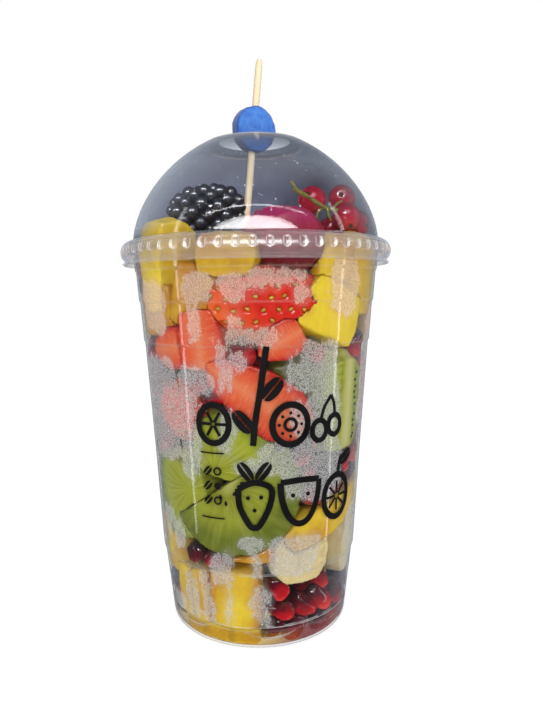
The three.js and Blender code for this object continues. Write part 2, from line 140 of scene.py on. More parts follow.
def facing(way):
    """The turn that points Z this way."""
    return np.array(Vector(way).to_track_quat("Z", "Y").to_matrix())


# ---------------------------------------------------------------- meshes

def mesh_object(name, points, faces, material, sharp=None, smooth=True, weld=True):
    """An object from points in millimetres, with those in the same place made one unless weld is false."""
    mesh = bpy.data.meshes.new(name)
    mesh.from_pydata((np.asarray(points, float) * MM).tolist(), [], [list(f) for f in faces])
    mesh.update()
    tidy = bmesh.new()
    tidy.from_mesh(mesh)
    if weld:
        bmesh.ops.remove_doubles(tidy, verts=tidy.verts, dist=WELD)
    bmesh.ops.recalc_face_normals(tidy, faces=tidy.faces)
    tidy.to_mesh(mesh)
    tidy.free()
    return finish_object(name, mesh, material, sharp, smooth)


def finish_object(name, mesh, material, sharp=None, smooth=True):
    if smooth:
        mesh.shade_smooth()
    if sharp:
        mesh.set_sharp_from_angle(angle=math.radians(sharp))
    mesh.materials.clear()
    mesh.materials.append(material)
    piece = bpy.data.objects.new(name, mesh)
    bpy.context.scene.collection.objects.link(piece)
    return piece


def vectors(collection, name):
    found = np.zeros(len(collection) * 3, np.float32)
    collection.foreach_get(name, found)
    return found.reshape(-1, 3).astype(float)


def positions(mesh):
    """Where the points of a mesh lie, in millimetres."""
    return vectors(mesh.vertices, "co") / MM


def set_positions(mesh, points):
    mesh.vertices.foreach_set("co", (points * MM).astype(np.float32).ravel())
    mesh.update()


def paint(mesh, name, values):
    """Stores a number, or three, for each vertex, for the materials to read."""
    values = np.asarray(values, np.float32)
    if values.ndim == 1:
        mesh.attributes.new(name, "FLOAT", "POINT").data.foreach_set("value", values)
    else:
        layer = mesh.attributes.new(name, "FLOAT_VECTOR", "POINT")
        layer.data.foreach_set("vector", values.ravel())


def grid_faces(rows, columns, close_rows=False):
    """Faces between rings of points, and from the last ring to the first where the rows are closed."""
    faces = []
    for i in range(rows if close_rows else rows - 1):
        a, b = i * columns, (i + 1) % rows * columns
        for j in range(columns):
            k = (j + 1) % columns
            faces.append((a + j, a + k, b + k, b + j))
    return faces


def rounded(points, radius, steps):
    """A path whose corners are rounded over at most this radius."""
    path = [np.array(p, float) for p in points]
    out = [path[0]]
    for before, corner, after in zip(path, path[1:], path[2:]):
        r = min(radius, np.linalg.norm(corner - before) / 2, np.linalg.norm(after - corner) / 2)
        a, b = corner + unit(before - corner) * r, corner + unit(after - corner) * r
        for t in np.linspace(0, 1, steps + 1):
            out.append((1 - t) ** 2 * a + 2 * t * (1 - t) * corner + t * t * b)
    out.append(path[-1])
    return np.array(out)


def resampled(path, step):
    """The path with no stretch longer than step."""
    out = [path[0]]
    for a, b in zip(path, path[1:]):
        parts = max(1, math.ceil(np.linalg.norm(b - a) / step))
        out += [a + (b - a) * (k + 1) / parts for k in range(parts)]
    return np.array(out)


def beside(along):
    """The ways, of length 1, at right angles to these in a plane."""
    side = np.stack([along[:, 1], -along[:, 0]], axis=1)
    return side / np.linalg.norm(side, axis=1)[:, None]


def sides_of(path, thickness):
    """The two sides of a wall of even thickness along an open path, the outer one first."""
    side = beside(np.gradient(path, axis=0))
    outer, inner = path - side * thickness / 2, path + side * thickness / 2
    return (inner, outer) if outer[:, 0].mean() < inner[:, 0].mean() else (outer, inner)


def thinned(path, longest):
    """A path without the points in the middle of its straight runs."""
    kept = [path[0]]
    for before, point, after in zip(path, path[1:], path[2:]):
        a, b = point - before, after - point
        bend = abs(a[0] * b[1] - a[1] * b[0]) / (np.linalg.norm(a) * np.linalg.norm(b))
        if bend > STRAIGHT or np.linalg.norm(point - kept[-1]) > longest:
            kept.append(point)
    return np.array(kept + [path[-1]])


def lathe(name, outline, columns, material, sharp=None, relief=None):
    """A body of revolution from an outline of (radius, height) points, which is closed or ends on the
    axis. The relief says how far each point moves outwards."""
    angles = np.arange(columns) * 360 / columns
    radius = np.repeat(np.maximum(outline[:, 0], 0)[:, None], columns, 1)
    height = np.repeat(outline[:, 1][:, None], columns, 1)
    azimuth = np.repeat(angles[None], len(outline), 0)
    if relief:
        radius = radius + relief(azimuth, height, radius)
    points = on_wall(azimuth.ravel(), height.ravel(), radius.ravel())
    away_from_axis = outline[0, 0] > 0
    return mesh_object(name, points, grid_faces(len(outline), columns, away_from_axis), material, sharp)


def tube(path, radii, sides):
    """Points and faces of a round tube with closed ends, and a radius at each point of its path."""
    along = np.gradient(path, axis=0)
    along /= np.linalg.norm(along, axis=1)[:, None]
    angles = np.arange(sides) * 2 * math.pi / sides
    points = []
    for p, t, r in zip(path, along, radii):
        u = unit(np.cross(t, ASLANT))
        v = np.cross(t, u)
        points += [p + r * (math.cos(a) * u + math.sin(a) * v) for a in angles]
    faces = grid_faces(len(path), sides)
    faces.append(tuple(range(sides))[::-1])
    faces.append(tuple(range((len(path) - 1) * sides, len(path) * sides)))
    return np.array(points), faces


def spline(points, count):
    """A smooth path through a few points."""
    p = np.asarray(points, float)
    p = np.vstack([2 * p[0] - p[1], p, 2 * p[-1] - p[-2]])
    out = []
    spans = len(p) - 3
    for s in np.linspace(0, spans - 1e-9, count):
        i = int(s)
        t = s - i
        a, b, c, d = p[i : i + 4]
        out.append(0.5 * (2 * b + (c - a) * t + (2 * a - 5 * b + 4 * c - d) * t**2
                          + (3 * b - a - 3 * c + d) * t**3))
    return np.array(out)


def ball(detail):
    """Points and faces of a round ball of radius 1."""
    shape = bmesh.new()
    bmesh.ops.create_icosphere(shape, subdivisions=detail, radius=1)
    points = np.array([v.co[:] for v in shape.verts])
    faces = [tuple(v.index for v in f.verts) for f in shape.faces]
    shape.free()
    return points, faces


def joined(parts):
    """One list of points and faces from several."""
    points, faces, start = [], [], 0
    for p, f in parts:
        points.append(p)
        faces += [tuple(i + start for i in face) for face in f]
        start += len(p)
    return np.vstack(points), faces


# ---------------------------------------------------------------- materials

# Heights in metres between which looks change
ROLL_END = (0.1450, 0.1445)
ROLL_FOLD = (0.1450, 0.1440)
DOME_START = (0.1445, 0.150)
DOME_SIDES = (0.1455, 0.149)
CROWN_START = (0.170, 0.179)
WARM_MIST = (0.103, 0.113)
# The pick's painted shade above the disc, then its stain at the foot
PICK_PAINTED_SHADE = (0.185, 0.192)
PICK_STAIN = (0.164, 0.150)
RED_JUICE = (0.002, 0.016)  # metres to the right of the axis


def shade(red, green, blue):
    """A colour from 0 to 255 as the eye sees it, in the renderer's own terms."""
    def linear(c):
        c /= 255
        return c / 12.92 if c <= 0.04045 else ((c + 0.055) / 1.055) ** 2.4
    return (linear(red), linear(green), linear(blue), 1)


def colour_of(numbers):
    """One number is a grey level, three are a shade, and four are in the renderer's own terms."""
    if len(numbers) == 1:
        return (*numbers * 3, 1)
    return shade(*numbers) if len(numbers) == 3 else numbers


def add_node(tree, kind, inputs=None, **settings):
    """A shader node whose inputs are linked where a socket is given and set where a value is."""
    made = tree.nodes.new("ShaderNode" + kind)
    for key, value in settings.items():
        setattr(made, key, value)
    for key, value in (inputs or {}).items():
        if isinstance(value, bpy.types.NodeSocket):
            tree.links.new(value, made.inputs[key])
        else:
            made.inputs[key].default_value = value
    return made


class Finish:
    """A material with a few short ways to add nodes."""

    def __init__(self, name, **sockets):
        self.material = bpy.data.materials.new(name)
        self.material.use_nodes = True
        self.tree = self.material.node_tree
        self.shader = self.tree.nodes["Principled BSDF"]
        self.output = self.tree.nodes["Material Output"]
        for key, value in sockets.items():
            self.shader.inputs[key.replace("_", " ")].default_value = value

    def node(self, kind, inputs=None, **settings):
        return add_node(self.tree, kind, inputs, **settings)

    def place(self, *stretch):
        """Where a point lies on the object, in metres."""
        place = self.node("TexCoord").outputs["Object"]
        return self.node("Mapping", {"Vector": place, "Scale": stretch or (1, 1, 1)}).outputs[0]

    def read(self, name, output="Fac"):
        return self.node("Attribute", attribute_name=name).outputs[output]

    def own(self, *stretch):
        """Where a point lies in its piece's own axes, in millimetres."""
        own = self.read("own", "Vector")
        return self.node("Mapping", {"Vector": own, "Scale": stretch}).outputs[0] if stretch else own

    def noise(self, vector, scale, detail=3, roughness=0.55):
        inputs = {"Vector": vector, "Scale": scale, "Detail": detail, "Roughness": roughness}
        return self.node("TexNoise", inputs).outputs["Fac"]

    def grain(self, *texture):
        """Noise over the object; like noise it takes a scale, a detail and a roughness."""
        return self.noise(self.place(), *texture)

    def math(self, operation, a, b=0.0, clamp=False):
        return self.node("Math", {0: a, 1: b}, operation=operation, use_clamp=clamp).outputs[0]

    def add(self, a, b, clamp=False):
        return self.math("ADD", a, b, clamp)

    def minus(self, a, b, clamp=False):
        return self.math("SUBTRACT", a, b, clamp)

    def times(self, a, b):
        return self.math("MULTIPLY", a, b)

    def most(self, a, b):
        return self.math("MAXIMUM", a, b)

    def swing(self, noise, amount):
        """Noise turned into a change up or down."""
        return self.times(self.minus(noise, 0.5), amount)

    def raised(self, value, power, amount):
        return self.times(self.math("POWER", value, power), amount)

    def level(self, value, low, high, top=1.0, bottom=0.0):
        """From bottom to top as a value goes from low to high."""
        inputs = {"Value": value, "From Min": low, "From Max": high, "To Min": bottom, "To Max": top}
        return self.node("MapRange", inputs).outputs[0]

    def along(self, letter, *levels):
        """From bottom to top between two places along one of the object's axes, in metres."""
        place = self.node("SeparateXYZ", {"Vector": self.node("TexCoord").outputs["Object"]})
        return self.level(place.outputs[letter], *levels)

    def ramp(self, factor, *stops):
        """Each stop is a place with the numbers of a colour after it."""
        made = self.node("ValToRGB", {"Fac": factor})
        elements = made.color_ramp.elements
        while len(elements) < len(stops):
            elements.new(0.5)
        for element, stop in zip(elements, stops):
            element.position = stop[0]
            element.color = colour_of(stop[1:])
        return made.outputs["Color"]

    def mix(self, factor, a, b):
        a, b = (colour_of(end) if isinstance(end, tuple) else end for end in (a, b))
        return self.node("Mix", {0: factor, 6: a, 7: b}, data_type="RGBA").outputs[2]

    def blend(self, share, a, b):
        return self.node("MixShader", {0: share, 1: a, 2: b}).outputs[0]

    def done(self, colour, height=None, strength=0, distance=0):
        """The material with its colour and its bumps, whose depth is in millimetres."""
        self.tree.links.new(colour, self.shader.inputs["Base Color"])
        if height:
            inputs = {"Height": height, "Strength": strength, "Distance": distance * MM}
            self.tree.links.new(self.node("Bump", inputs).outputs[0], self.shader.inputs["Normal"])
        return self.material


FLESH_LOOK = {"Roughness": 0.3, "Subsurface_Weight": 0.25, "Subsurface_Scale": 0.003, "Coat_Weight": 0.3,
              "Coat_Roughness": 0.12, "Subsurface_Radius": (1.0, 0.45, 0.25)}


def flesh(name, **sockets):
    return Finish(name, **{**FLESH_LOOK, **sockets})


def mango_finish():
    f = flesh("mango flesh")
    fibres = f.noise(f.own(1, 1, 0.6), 0.5, 4, 0.6)
    pale = f.mix(fibres, (230, 192, 6), (250, 224, 66))
    deep = f.mix(fibres, (176, 104, 6), (216, 154, 22))
    # ripe holds ripeness, and on some pieces painted shade as well
    ripe = f.add(f.read("ripe"), f.swing(f.grain(90), 1.1), clamp=True)
    return f.done(f.mix(ripe, pale, deep), f.grain(700, 4), 0.25, 0.3)


def strawberry_skin_finish():
    f = flesh("strawberry skin", Roughness=0.22, Coat_Weight=0.6)
    blush = f.add(f.read("pale"), f.swing(f.grain(120), 0.8), clamp=True)
    red = f.mix(f.grain(260), (204, 14, 14), (240, 46, 20))
    return f.done(f.mix(blush, red, (246, 112, 40)), f.grain(900), 0.2, 0.25)


def strawberry_flesh_finish():
    f = flesh("strawberry flesh")
    fibres = f.noise(f.own(0.35, 1, 1.6), 1.0, 4, 0.6)
    across = f.add(f.read("across"), f.swing(fibres, 0.35))
    cut = f.ramp(across, (0.0, 236, 132, 84), (0.3, 232, 102, 56), (0.68, 226, 76, 34), (0.88, 200, 24, 14))
    veins = f.mix(f.ramp(fibres, (0.5, 0), (0.8, 0.55)), cut, (246, 176, 132))
    return f.done(veins, fibres, 0.3, 0.4)


def kiwi_finish():
    """Rays round a pale middle; the amount called dim darkens a piece that lies in shade."""
    f = flesh("kiwi flesh")
    radial = f.read("radial")
    around = f.node("CombineXYZ", {"X": f.read("around"), "Y": f.times(radial, 0.12)}).outputs[0]
    rays = f.noise(around, 0.62, 2, 0.5)
    reach = f.add(f.math("DIVIDE", radial, 24.0), f.swing(f.noise(f.own(), 0.25, 2), 0.16))
    base = f.ramp(reach, (0.0, 206, 204, 136), (0.15, 190, 190, 92), (0.27, 142, 146, 18),
                  (0.6, 164, 172, 30), (0.92, 112, 124, 22))
    bright = f.times(f.ramp(rays, (0.42, 0), (0.66, 1)), f.ramp(reach, (0.15, 0), (0.35, 1), (1, 0.4)))
    ripe = f.mix(f.times(bright, 0.42), base, (206, 210, 96))
    return f.done(f.mix(f.read("dim"), ripe, (84, 84, 36)), rays, 0.3, 0.4)


def melon_finish():
    f = flesh("melon flesh")
    fibres = f.noise(f.own(), 0.5, 4, 0.6)
    return f.done(f.mix(fibres, (214, 186, 112), (240, 224, 172)), fibres, 0.3, 0.5)


def dragonfruit_finish():
    f = flesh("dragonfruit flesh", Roughness=0.35)
    height = f.node("SeparateXYZ", {"Vector": f.own()}).outputs["Z"]
    fibres = f.noise(f.own(1.6, 1.0, 0.35), 1.2, 4, 0.7)
    lift = f.add(f.times(height, 0.05), f.times(fibres, 0.5))
    base = f.ramp(lift, (0.0, 118, 2, 24), (0.35, 160, 8, 42), (0.7, 178, 22, 96))
    pale = f.times(f.ramp(fibres, (0.58, 0), (0.72, 1)), 0.35)
    return f.done(f.mix(pale, base, (226, 140, 160)), fibres, 0.5, 0.6)


def aril_finish():
    f = Finish("pomegranate seed", Roughness=0.12, Subsurface_Weight=0.15, Subsurface_Scale=0.002,
               Coat_Weight=1.0, Coat_Roughness=0.04)
    # Painted glow: each seed's colour brightens low down at its front, on top of a tone of its own
    glow = f.add(f.read("glow"), f.swing(f.grain(330), 0.5), clamp=True)
    return f.done(f.ramp(glow, (0.0, 46, 0, 14), (0.4, 98, 0, 24), (0.75, 200, 10, 28), (1.0, 240, 76, 66)))


def core_finish():
    f = Finish("heap core", Roughness=0.4, Coat_Weight=0.4)
    # Very dark, partly as painted shade where the heap shows in the gaps between the pieces
    tone = f.ramp(f.grain(60, 4), (0.35, 34, 4, 10), (0.55, 72, 10, 20), (0.7, 112, 44, 18))
    return f.done(tone, f.grain(240), 0.6, 1.5)


def berry_finish():
    f = Finish("dark drupelets", Roughness=0.45, Specular_IOR_Level=0.4, Coat_Weight=1.0, Coat_Roughness=0.05)
    tone = f.ramp(f.grain(320, 2), (0.35, 5, 8, 16), (0.7, 14, 14, 28))
    return f.done(tone, f.grain(900, 2), 0.15, 0.2)


def currant_finish():
    f = Finish("currant skin", Roughness=0.12, Subsurface_Weight=0.3, Subsurface_Scale=0.002,
               Coat_Weight=1.0, Coat_Roughness=0.02)
    stripes = f.noise(f.own(1, 1, 0.1), 1.6, 2)
    # The painted glow makes each currant brighter low down and darker on top
    tone = f.add(f.read("glow"), f.swing(stripes, 0.5), clamp=True)
    return f.done(f.ramp(tone, (0.1, 128, 0, 30), (0.5, 204, 4, 54), (0.95, 240, 70, 92)))


def plain_finish(name, low, high, scale, roughness, bump=0.3):
    """A surface between two colours with grain of its own."""
    f = Finish(name, Roughness=roughness)
    grain = f.grain(scale, 5, 0.65)
    return f.done(f.ramp(grain, (0.35, *low), (0.65, *high)), grain, bump, 0.3)


def pick_finish():
    """Pale wood with painted shade above the disc, and stained by the fruit at its foot."""
    f = Finish("pick wood", Roughness=0.7)
    grain = f.noise(f.place(1, 1, 0.06), 1500, 4, 0.6)
    wood = f.ramp(grain, (0.3, 226, 202, 156), (0.7, 250, 238, 206))
    # Painted shade: the wood is darker above the disc
    wood = f.mix(f.along("Z", *PICK_PAINTED_SHADE, 0.8), wood, (172, 158, 130))
    stain = f.times(f.along("Z", *PICK_STAIN), f.grain(500))
    return f.done(f.mix(stain, wood, (226, 110, 90)), grain, 0.4, 0.3)


def felt_finish():
    f = Finish("blue felt", Roughness=0.95, Sheen_Weight=0.5, Sheen_Roughness=0.5)
    face = f.ramp(f.grain(260, 5, 0.7), (0.3, 40, 110, 226), (0.7, 92, 166, 255))
    # The side attribute is painted shade: the rim band is a darker blue
    return f.done(f.mix(f.read("side"), face, (22, 66, 156)), f.grain(1400, 4, 0.8), 0.9, 0.5)


def edge_bloom(f, facing):
    """A pale border where the plastic is seen at a glancing angle."""
    return f.raised(facing, 6.0, 0.6)


def cup_bloom(f, facing):
    """A wider pale border down the cup's sides."""
    return f.raised(facing, 4.0, 0.5)


EDGE_GLOSS = 0.55
SMOOTHNESS = 0.03
MATT = 0.9
BACKLIGHT = 0.3  # the share of the haze that glows with light from behind
WAVES, WAVE_STRENGTH, WAVE_DEPTH = 38, 0.035, 0.002


def clear_plastic(name, tint_of, haze_of, bloom_of=edge_bloom, straight=0.04, roughness_of=None,
                  polish_of=None):
    """Thin clear plastic: tinted where it lets light through, with a haze of its own and gloss over
    that. The gloss is least head on, where straight gives it."""
    f = Finish(name)
    facing = f.node("LayerWeight", {"Blend": 0.5}).outputs["Facing"]
    gloss = f.add(f.raised(facing, 4.0, EDGE_GLOSS), straight)
    if polish_of:
        gloss = f.times(gloss, polish_of(f))
    clear = f.node("BsdfTransparent", {"Color": tint_of(f, facing)}).outputs[0]
    bloom = f.node("BsdfDiffuse", {"Color": shade(216, 224, 236), "Roughness": MATT}).outputs[0]
    clear = f.blend(bloom_of(f, facing), clear, bloom)
    amount, colour = haze_of(f)
    film = f.node("BsdfDiffuse", {"Color": colour, "Roughness": MATT}).outputs[0]
    behind = f.node("BsdfTranslucent", {"Color": colour}).outputs[0]
    clear = f.blend(amount, clear, f.blend(BACKLIGHT, film, behind))
    wave = {"Height": f.grain(WAVES, 2), "Strength": WAVE_STRENGTH, "Distance": WAVE_DEPTH}
    mirror = {"Color": (1, 1, 1, 1), "Roughness": roughness_of(f) if roughness_of else SMOOTHNESS,
              "Normal": f.node("Bump", wave).outputs[0]}
    surface = f.blend(gloss, clear, f.node("BsdfGlossy", mirror).outputs[0])
    f.tree.nodes.remove(f.shader)
    f.tree.links.new(surface, f.output.inputs["Surface"])
    return f.material


def cup_tint(f, facing):
    return f.mix(f.math("POWER", facing, 3.0), (0.985, 0.988, 0.99, 1), (0.78, 0.81, 0.85, 1))


def lid_tint(f, facing):
    """Clear round the fruit in front, and greyer towards the crown and the back, where it is misted."""
    back = f.along("Y", -0.025, 0.02)
    crown = f.along("Z", *CROWN_START)
    above = f.along("Z", *DOME_START)
    # Painted light: the misted grey is lighter towards the left
    left = f.along("X", 0.03, -0.02)
    cloud = f.add(f.grain(32, 4, 0.5), f.times(left, 0.34))
    misted = f.ramp(cloud, (0.32, 0.08, 0.087, 0.115, 1), (0.82, 0.48, 0.525, 0.62, 1))
    front = f.mix(crown, (0.96, 0.965, 0.98, 1), (0.46, 0.49, 0.55, 1))
    grey = f.mix(back, front, f.mix(crown, misted, (0.50, 0.53, 0.58, 1)))
    tint = f.mix(above, (0.94, 0.92, 0.93, 1), grey)
    return f.mix(f.math("POWER", facing, 4.0), tint, (0.56, 0.6, 0.68, 1))


def dome_bloom(f, facing):
    """Paler towards the dome's sides than on the roll, and palest at the left, where the extra paleness is
    painted light.
    """
    above = f.along("Z", *DOME_SIDES)
    left = f.along("X", 0.02, -0.03, 0.6, 0.1)
    return f.add(f.times(above, f.raised(facing, 3.0, left)), edge_bloom(f, facing), clamp=True)


def white_edge(f, amount):
    """The pale line that light makes where the plastic is folded sharply."""
    return f.raised(f.read("edge"), 2.0, amount)


# Gleams low on the foot: middle, half-width, height of the ends, drop and strength. Those without
# a drop run right across the front.
FOOT_GLEAMS = [(-25, 9, 7.9, 2.4, 0.75), (-26, 7, 6.2, 1.8, 0.4), (4, 9.5, 6.6, 2.0, 0.8),
               (4, 7.5, 5.4, 1.5, 0.45), (26, 8, 7.6, 2.2, 0.4), (0, 1000, 8.5, 0, 0.8),
               (0, 1000, 28.8, 0, 0.55)]
GLEAM = (0.32, 0.05)  # how far from its line a gleam ends, and where it is at its full strength


def foot_gleams(f):
    """Fine pale lines where light runs along the folds of the foot."""
    x, y, z = f.node("SeparateXYZ", {"Vector": f.place(1 / MM, 1 / MM, 1 / MM)}).outputs
    total = None
    for middle, half, height, drop, strength in FOOT_GLEAMS:
        along = f.math("DIVIDE", f.minus(x, middle), half)
        inner = f.minus(1.0, f.times(along, along), clamp=True)
        line = f.minus(height, f.times(inner, drop))
        near = f.level(f.math("ABSOLUTE", f.minus(z, line)), *GLEAM, strength)
        if drop:
            near = f.times(near, f.math("SQRT", inner))
        total = f.most(total, near) if total else near
    streaks = f.ramp(f.grain(160, 2), (0.35, 0.35), (0.6, 1))
    return f.times(f.times(total, f.level(y, 0.0, -8.0)), streaks)


def mist(f):
    """Fine beads of water on the wall in patches with ragged edges, warmer in colour high up over the
    strawberry, and the painted highlight lines along the wall's folds and its foot."""
    edge = f.swing(f.noise(f.place(1.5, 1.5, 0.8), 900, 4, 0.75), 4.5)
    drips = f.swing(f.noise(f.place(1.6, 1.6, 0.6), 300, 2, 0.5), 4.5)
    mask = f.ramp(f.add(f.add(f.read("mist"), edge), drips), (0.0, 0), (0.25, 1))
    beads = f.node("TexVoronoi", {"Vector": f.place(), "Scale": 3100.0}).outputs["Distance"]
    high = f.along("Z", *WARM_MIST)
    grain = f.most(f.ramp(beads, (0.42, 1), (0.72, 0.2)), f.times(high, 0.55))
    amount = f.times(f.times(mask, grain), 0.72)
    veil = f.level(f.read("mist"), -1.6, 0.6, 0.16)
    amount = f.most(f.most(f.most(amount, veil), white_edge(f, 0.5)), foot_gleams(f))
    cloud = f.grain(1900, 2)
    cold = f.ramp(cloud, (0.35, 216, 217, 216), (0.6, 244, 245, 244))
    warm = f.ramp(cloud, (0.35, 238, 216, 196), (0.6, 255, 242, 230))
    return amount, f.mix(high, cold, warm)


def lid_haze(f):
    """Painted highlights on the folds, a faint bloom all over the roll, and a film of mist on the dome's
    back.
    """
    folds = f.most(white_edge(f, 0.8), f.along("Z", *ROLL_FOLD, 0.1))
    film = f.times(f.along("Y", -0.02, 0.02, 0.3), f.along("Z", *DOME_START))
    pale = f.ramp(f.grain(400, 2), (0.3, 232, 226, 226), (0.6, 255, 252, 250))
    cloud = f.ramp(f.grain(40, 4, 0.5), (0.35, 160, 168, 188), (0.65, 212, 220, 238))
    return f.most(folds, film), f.mix(f.math("GREATER_THAN", film, folds), pale, cloud)


def lid_polish(f):
    """The roll mirrors less than the dome."""
    return f.along("Z", *ROLL_END, 0.3, 1.0)


def lid_roughness(f):
    """The roll is less smooth than the dome."""
    return f.along("Z", *ROLL_END, 0.22, 0.07)


def redness(f):
    """The juice is red where the pomegranate seeds lie in it, at the right."""
    return f.along("X", *RED_JUICE)


def juice_tint(f, facing):
    amber = f.mix(f.grain(70), (0.99, 0.93, 0.70, 1), (0.97, 0.86, 0.54, 1))
    return f.mix(redness(f), amber, (0.95, 0.78, 0.78, 1))


def pulp(f):
    cloud = f.grain(90, 4)
    amber = f.mix(cloud, (206, 152, 44), (240, 200, 96))
    thin = f.ramp(cloud, (0.35, 0.06), (0.75, 0.4))
    crimson = f.mix(f.grain(260), (120, 20, 36), (214, 110, 112))
    return f.mix(redness(f), thin, (0.62,)), f.mix(redness(f), amber, crimson)


CUP_PLASTIC = clear_plastic("cup plastic", cup_tint, mist, cup_bloom)
LID_PLASTIC = clear_plastic("lid plastic", lid_tint, lid_haze, dome_bloom, roughness_of=lid_roughness,
                            polish_of=lid_polish)
JUICE = clear_plastic("amber juice", juice_tint, pulp, straight=0.03)
MANGO = mango_finish()
SKIN = strawberry_skin_finish()
FLESH = strawberry_flesh_finish()
KIWI = kiwi_finish()
MELON = melon_finish()
DRAGONFRUIT = dragonfruit_finish()
ARIL = aril_finish()
CORE = core_finish()
BERRY = berry_finish()
CURRANT = currant_finish()
STALK = plain_finish("currant stalk", (96, 88, 22), (150, 140, 50), 500, 0.6)
CALYX = plain_finish("currant calyx", (52, 34, 16), (120, 92, 50), 900, 0.8)
SEED = plain_finish("strawberry seed", (166, 122, 14), (226, 196, 70), 700, 0.35)
DARK_SEED = plain_finish("kiwi seed", (16, 12, 10), (48, 36, 24), 700, 0.35)
WOOD = pick_finish()
FELT = felt_finish()
# The water drops are partly real drops and partly painted highlight: their pale colour stands for their
# glints
DROP = plain_finish("water drops", (176, 180, 186), (236, 238, 242), 900, 0.1, 0.1)
INK = plain_finish("black print", (6, 5, 6), (18, 16, 18), 160, 0.5, 0.1)


# ---------------------------------------------------------------- mist on the wall

# Misted patches at the front: azimuth, height, half-width and half-height
MIST_PATCHES = [
    (-54, 121, 7, 9), (-25, 127, 5.5, 4.5), (-9, 127, 4.5, 4.5), (7, 130.5, 8, 2.8), (19, 125, 2.4, 2.6),
    (42, 128, 6.5, 9.5), (-4, 111.8, 8, 2.7), (-9, 117, 2, 2.4), (-28, 116, 1.8, 4.4), (-15, 101, 1.7, 6.4),
    (-9, 104, 2.8, 2.6), (-56, 89, 12, 15), (-30, 97, 7, 4.8), (-36, 84, 4.5, 9), (29, 100, 7.5, 9.5),
    (35, 84, 6.5, 10), (68, 97, 4.5, 24), (16, 100, 1.2, 4), (-55, 77, 9, 10), (-34, 74, 4, 11),
    (-15, 79, 2.2, 6.4), (8, 71, 5.5, 5.5), (30, 66, 11.5, 11), (-5, 68, 4, 2.4), (72, 72, 4, 20),
    (22, 84, 3.8, 7), (-58, 43, 3, 5), (-49, 40, 3, 4.5), (-20, 30.5, 4.2, 5.6), (-17.5, 18, 1.3, 7),
    (-31, 17, 1.9, 7.5), (-4, 40, 3.3, 3), (-1, 31, 1.5, 4.8), (19.5, 35.5, 9.5, 7.5), (1, 17, 2.8, 8.4),
    (-42, 14, 2.8, 9), (-58, 10, 4, 5), (66, 36, 7, 12),
]
FRONT_REACH = (70, 86)  # the listed patches give way to the rest between these many degrees each way
MIST_TOP = (135, 139)
MIST_BOTTOM = (6.5, 10)
DRY, WETTEST = -2.0, 1.6


def mist_at(azimuth, z, gap):
    """How far inside a misted patch each point lies, in millimetres: listed patches at the front, and
    elsewhere wherever a gap of a few millimetres parts the fruit from the wall."""
    radius = wall_radius(z)
    points = on_wall(azimuth, z, radius)
    front = np.full(len(points), -9.0)
    for patch_azimuth, patch_z, half_width, half_height in MIST_PATCHES:
        across = np.radians(azimuth - patch_azimuth) * radius / half_width
        up = (z - patch_z) / half_height
        inside = 1 - (np.abs(across) ** 3 + np.abs(up) ** 3) ** (1 / 3)
        front = np.maximum(front, inside * min(half_width, half_height))
    ragged = 2.4 * unevenness(points, 5, 1) + 1.8 * unevenness(points, 2.2, 2)
    back = 3.2 * smoothstep(0.9, 3.0, gap) - 1.3
    share = smoothstep(*FRONT_REACH, np.abs(azimuth))
    both = np.minimum((front + 0.4) * (1 - share) + back * share + ragged, WETTEST)
    fade = np.minimum(smoothstep(*MIST_BOTTOM, z), 1 - smoothstep(*MIST_TOP, z))
    return np.where(fade > 0, both * fade + DRY * (1 - fade), DRY)


# ---------------------------------------------------------------- cup and lid

CUP_BEAD = (47.6, 142.2, 1.3, 1.1)  # the rim's rolled edge: middle, across and up, and its half-widths
CUP_FOOT = [(34.3 - CUP_WALL / 2, 1.6), (33.2, 0.4), (30.2, 0.4), (29.0, 1.6), (27.6, 4.4), (24.5, 4.7),
            (0, 4.6)]
# Height and strength of the painted highlight lines round the cup
CUP_EDGES = [(30.4, 0.2), (7.0, 0.25), (108.3, 0.25), (122.9, 0.3), (134.1, 0.3)]
CUP_COLUMNS, LID_COLUMNS = 300, 840
FAR = 9.0  # the gap where no fruit is near
ON_AXIS = 0.05  # points nearer the axis than this are moved onto it
FOOT_TOP = 3  # the mist and the pale lines start above this height


def oval(x, z, half_width, half_height, angles):
    return [(x + half_width * math.cos(a), z + half_height * math.sin(a)) for a in np.radians(angles)]


def build_cup(contents):
    wall = [(r - CUP_WALL / 2, z) for z, r in zip(CUP_HEIGHTS, CUP_RADII)][:1:-1]
    path = np.array(oval(*CUP_BEAD, np.arange(-60, 171, 20)) + rounded(wall + CUP_FOOT, 0.9, 4).tolist())
    outer, inner = sides_of(resampled(path, 1.2), CUP_WALL)
    outline = np.vstack([outer, thinned(inner, 4)[::-1]])
    outline[outline[:, 0] < ON_AXIS, 0] = 0
    piece = lathe("cup_shell", outline, CUP_COLUMNS, CUP_PLASTIC, sharp=50)
    points = positions(piece.data)
    azimuth, radius = polar(points)
    z = points[:, 2]
    outside = (radius > wall_radius(z) + CUP_WALL / 2) & (z > FOOT_TOP)
    gap = np.full(len(points), FAR)
    for i in np.flatnonzero(outside):
        found = contents.find_nearest(Vector(points[i]) * MM, 6 * MM)
        if found[0] is not None:
            gap[i] = found[3] / MM - CUP_WALL
    paint(piece.data, "mist", np.where(outside, mist_at(azimuth, z, gap), DRY))
    # Painted highlight lines round the cup, stored as edge
    edge = np.zeros(len(points))
    for height, strength in CUP_EDGES:
        edge = np.maximum(edge, strength**0.5 * smoothstep(0.75, 0.1, np.abs(z - height)))
    paint(piece.data, "edge", np.where(outside, edge, 0))
    return piece


FLUTES = 60
FLUTE_TURN = 1  # degrees
FLUTE_WIDTH = 2.3
FLUTE_TOP = 142.9
FLUTE_BOTTOM = 139.7
FLUTE_DEPTH = 0.55
ROLL_RADIUS = 49.2  # outside this radius lies the roll's outer face


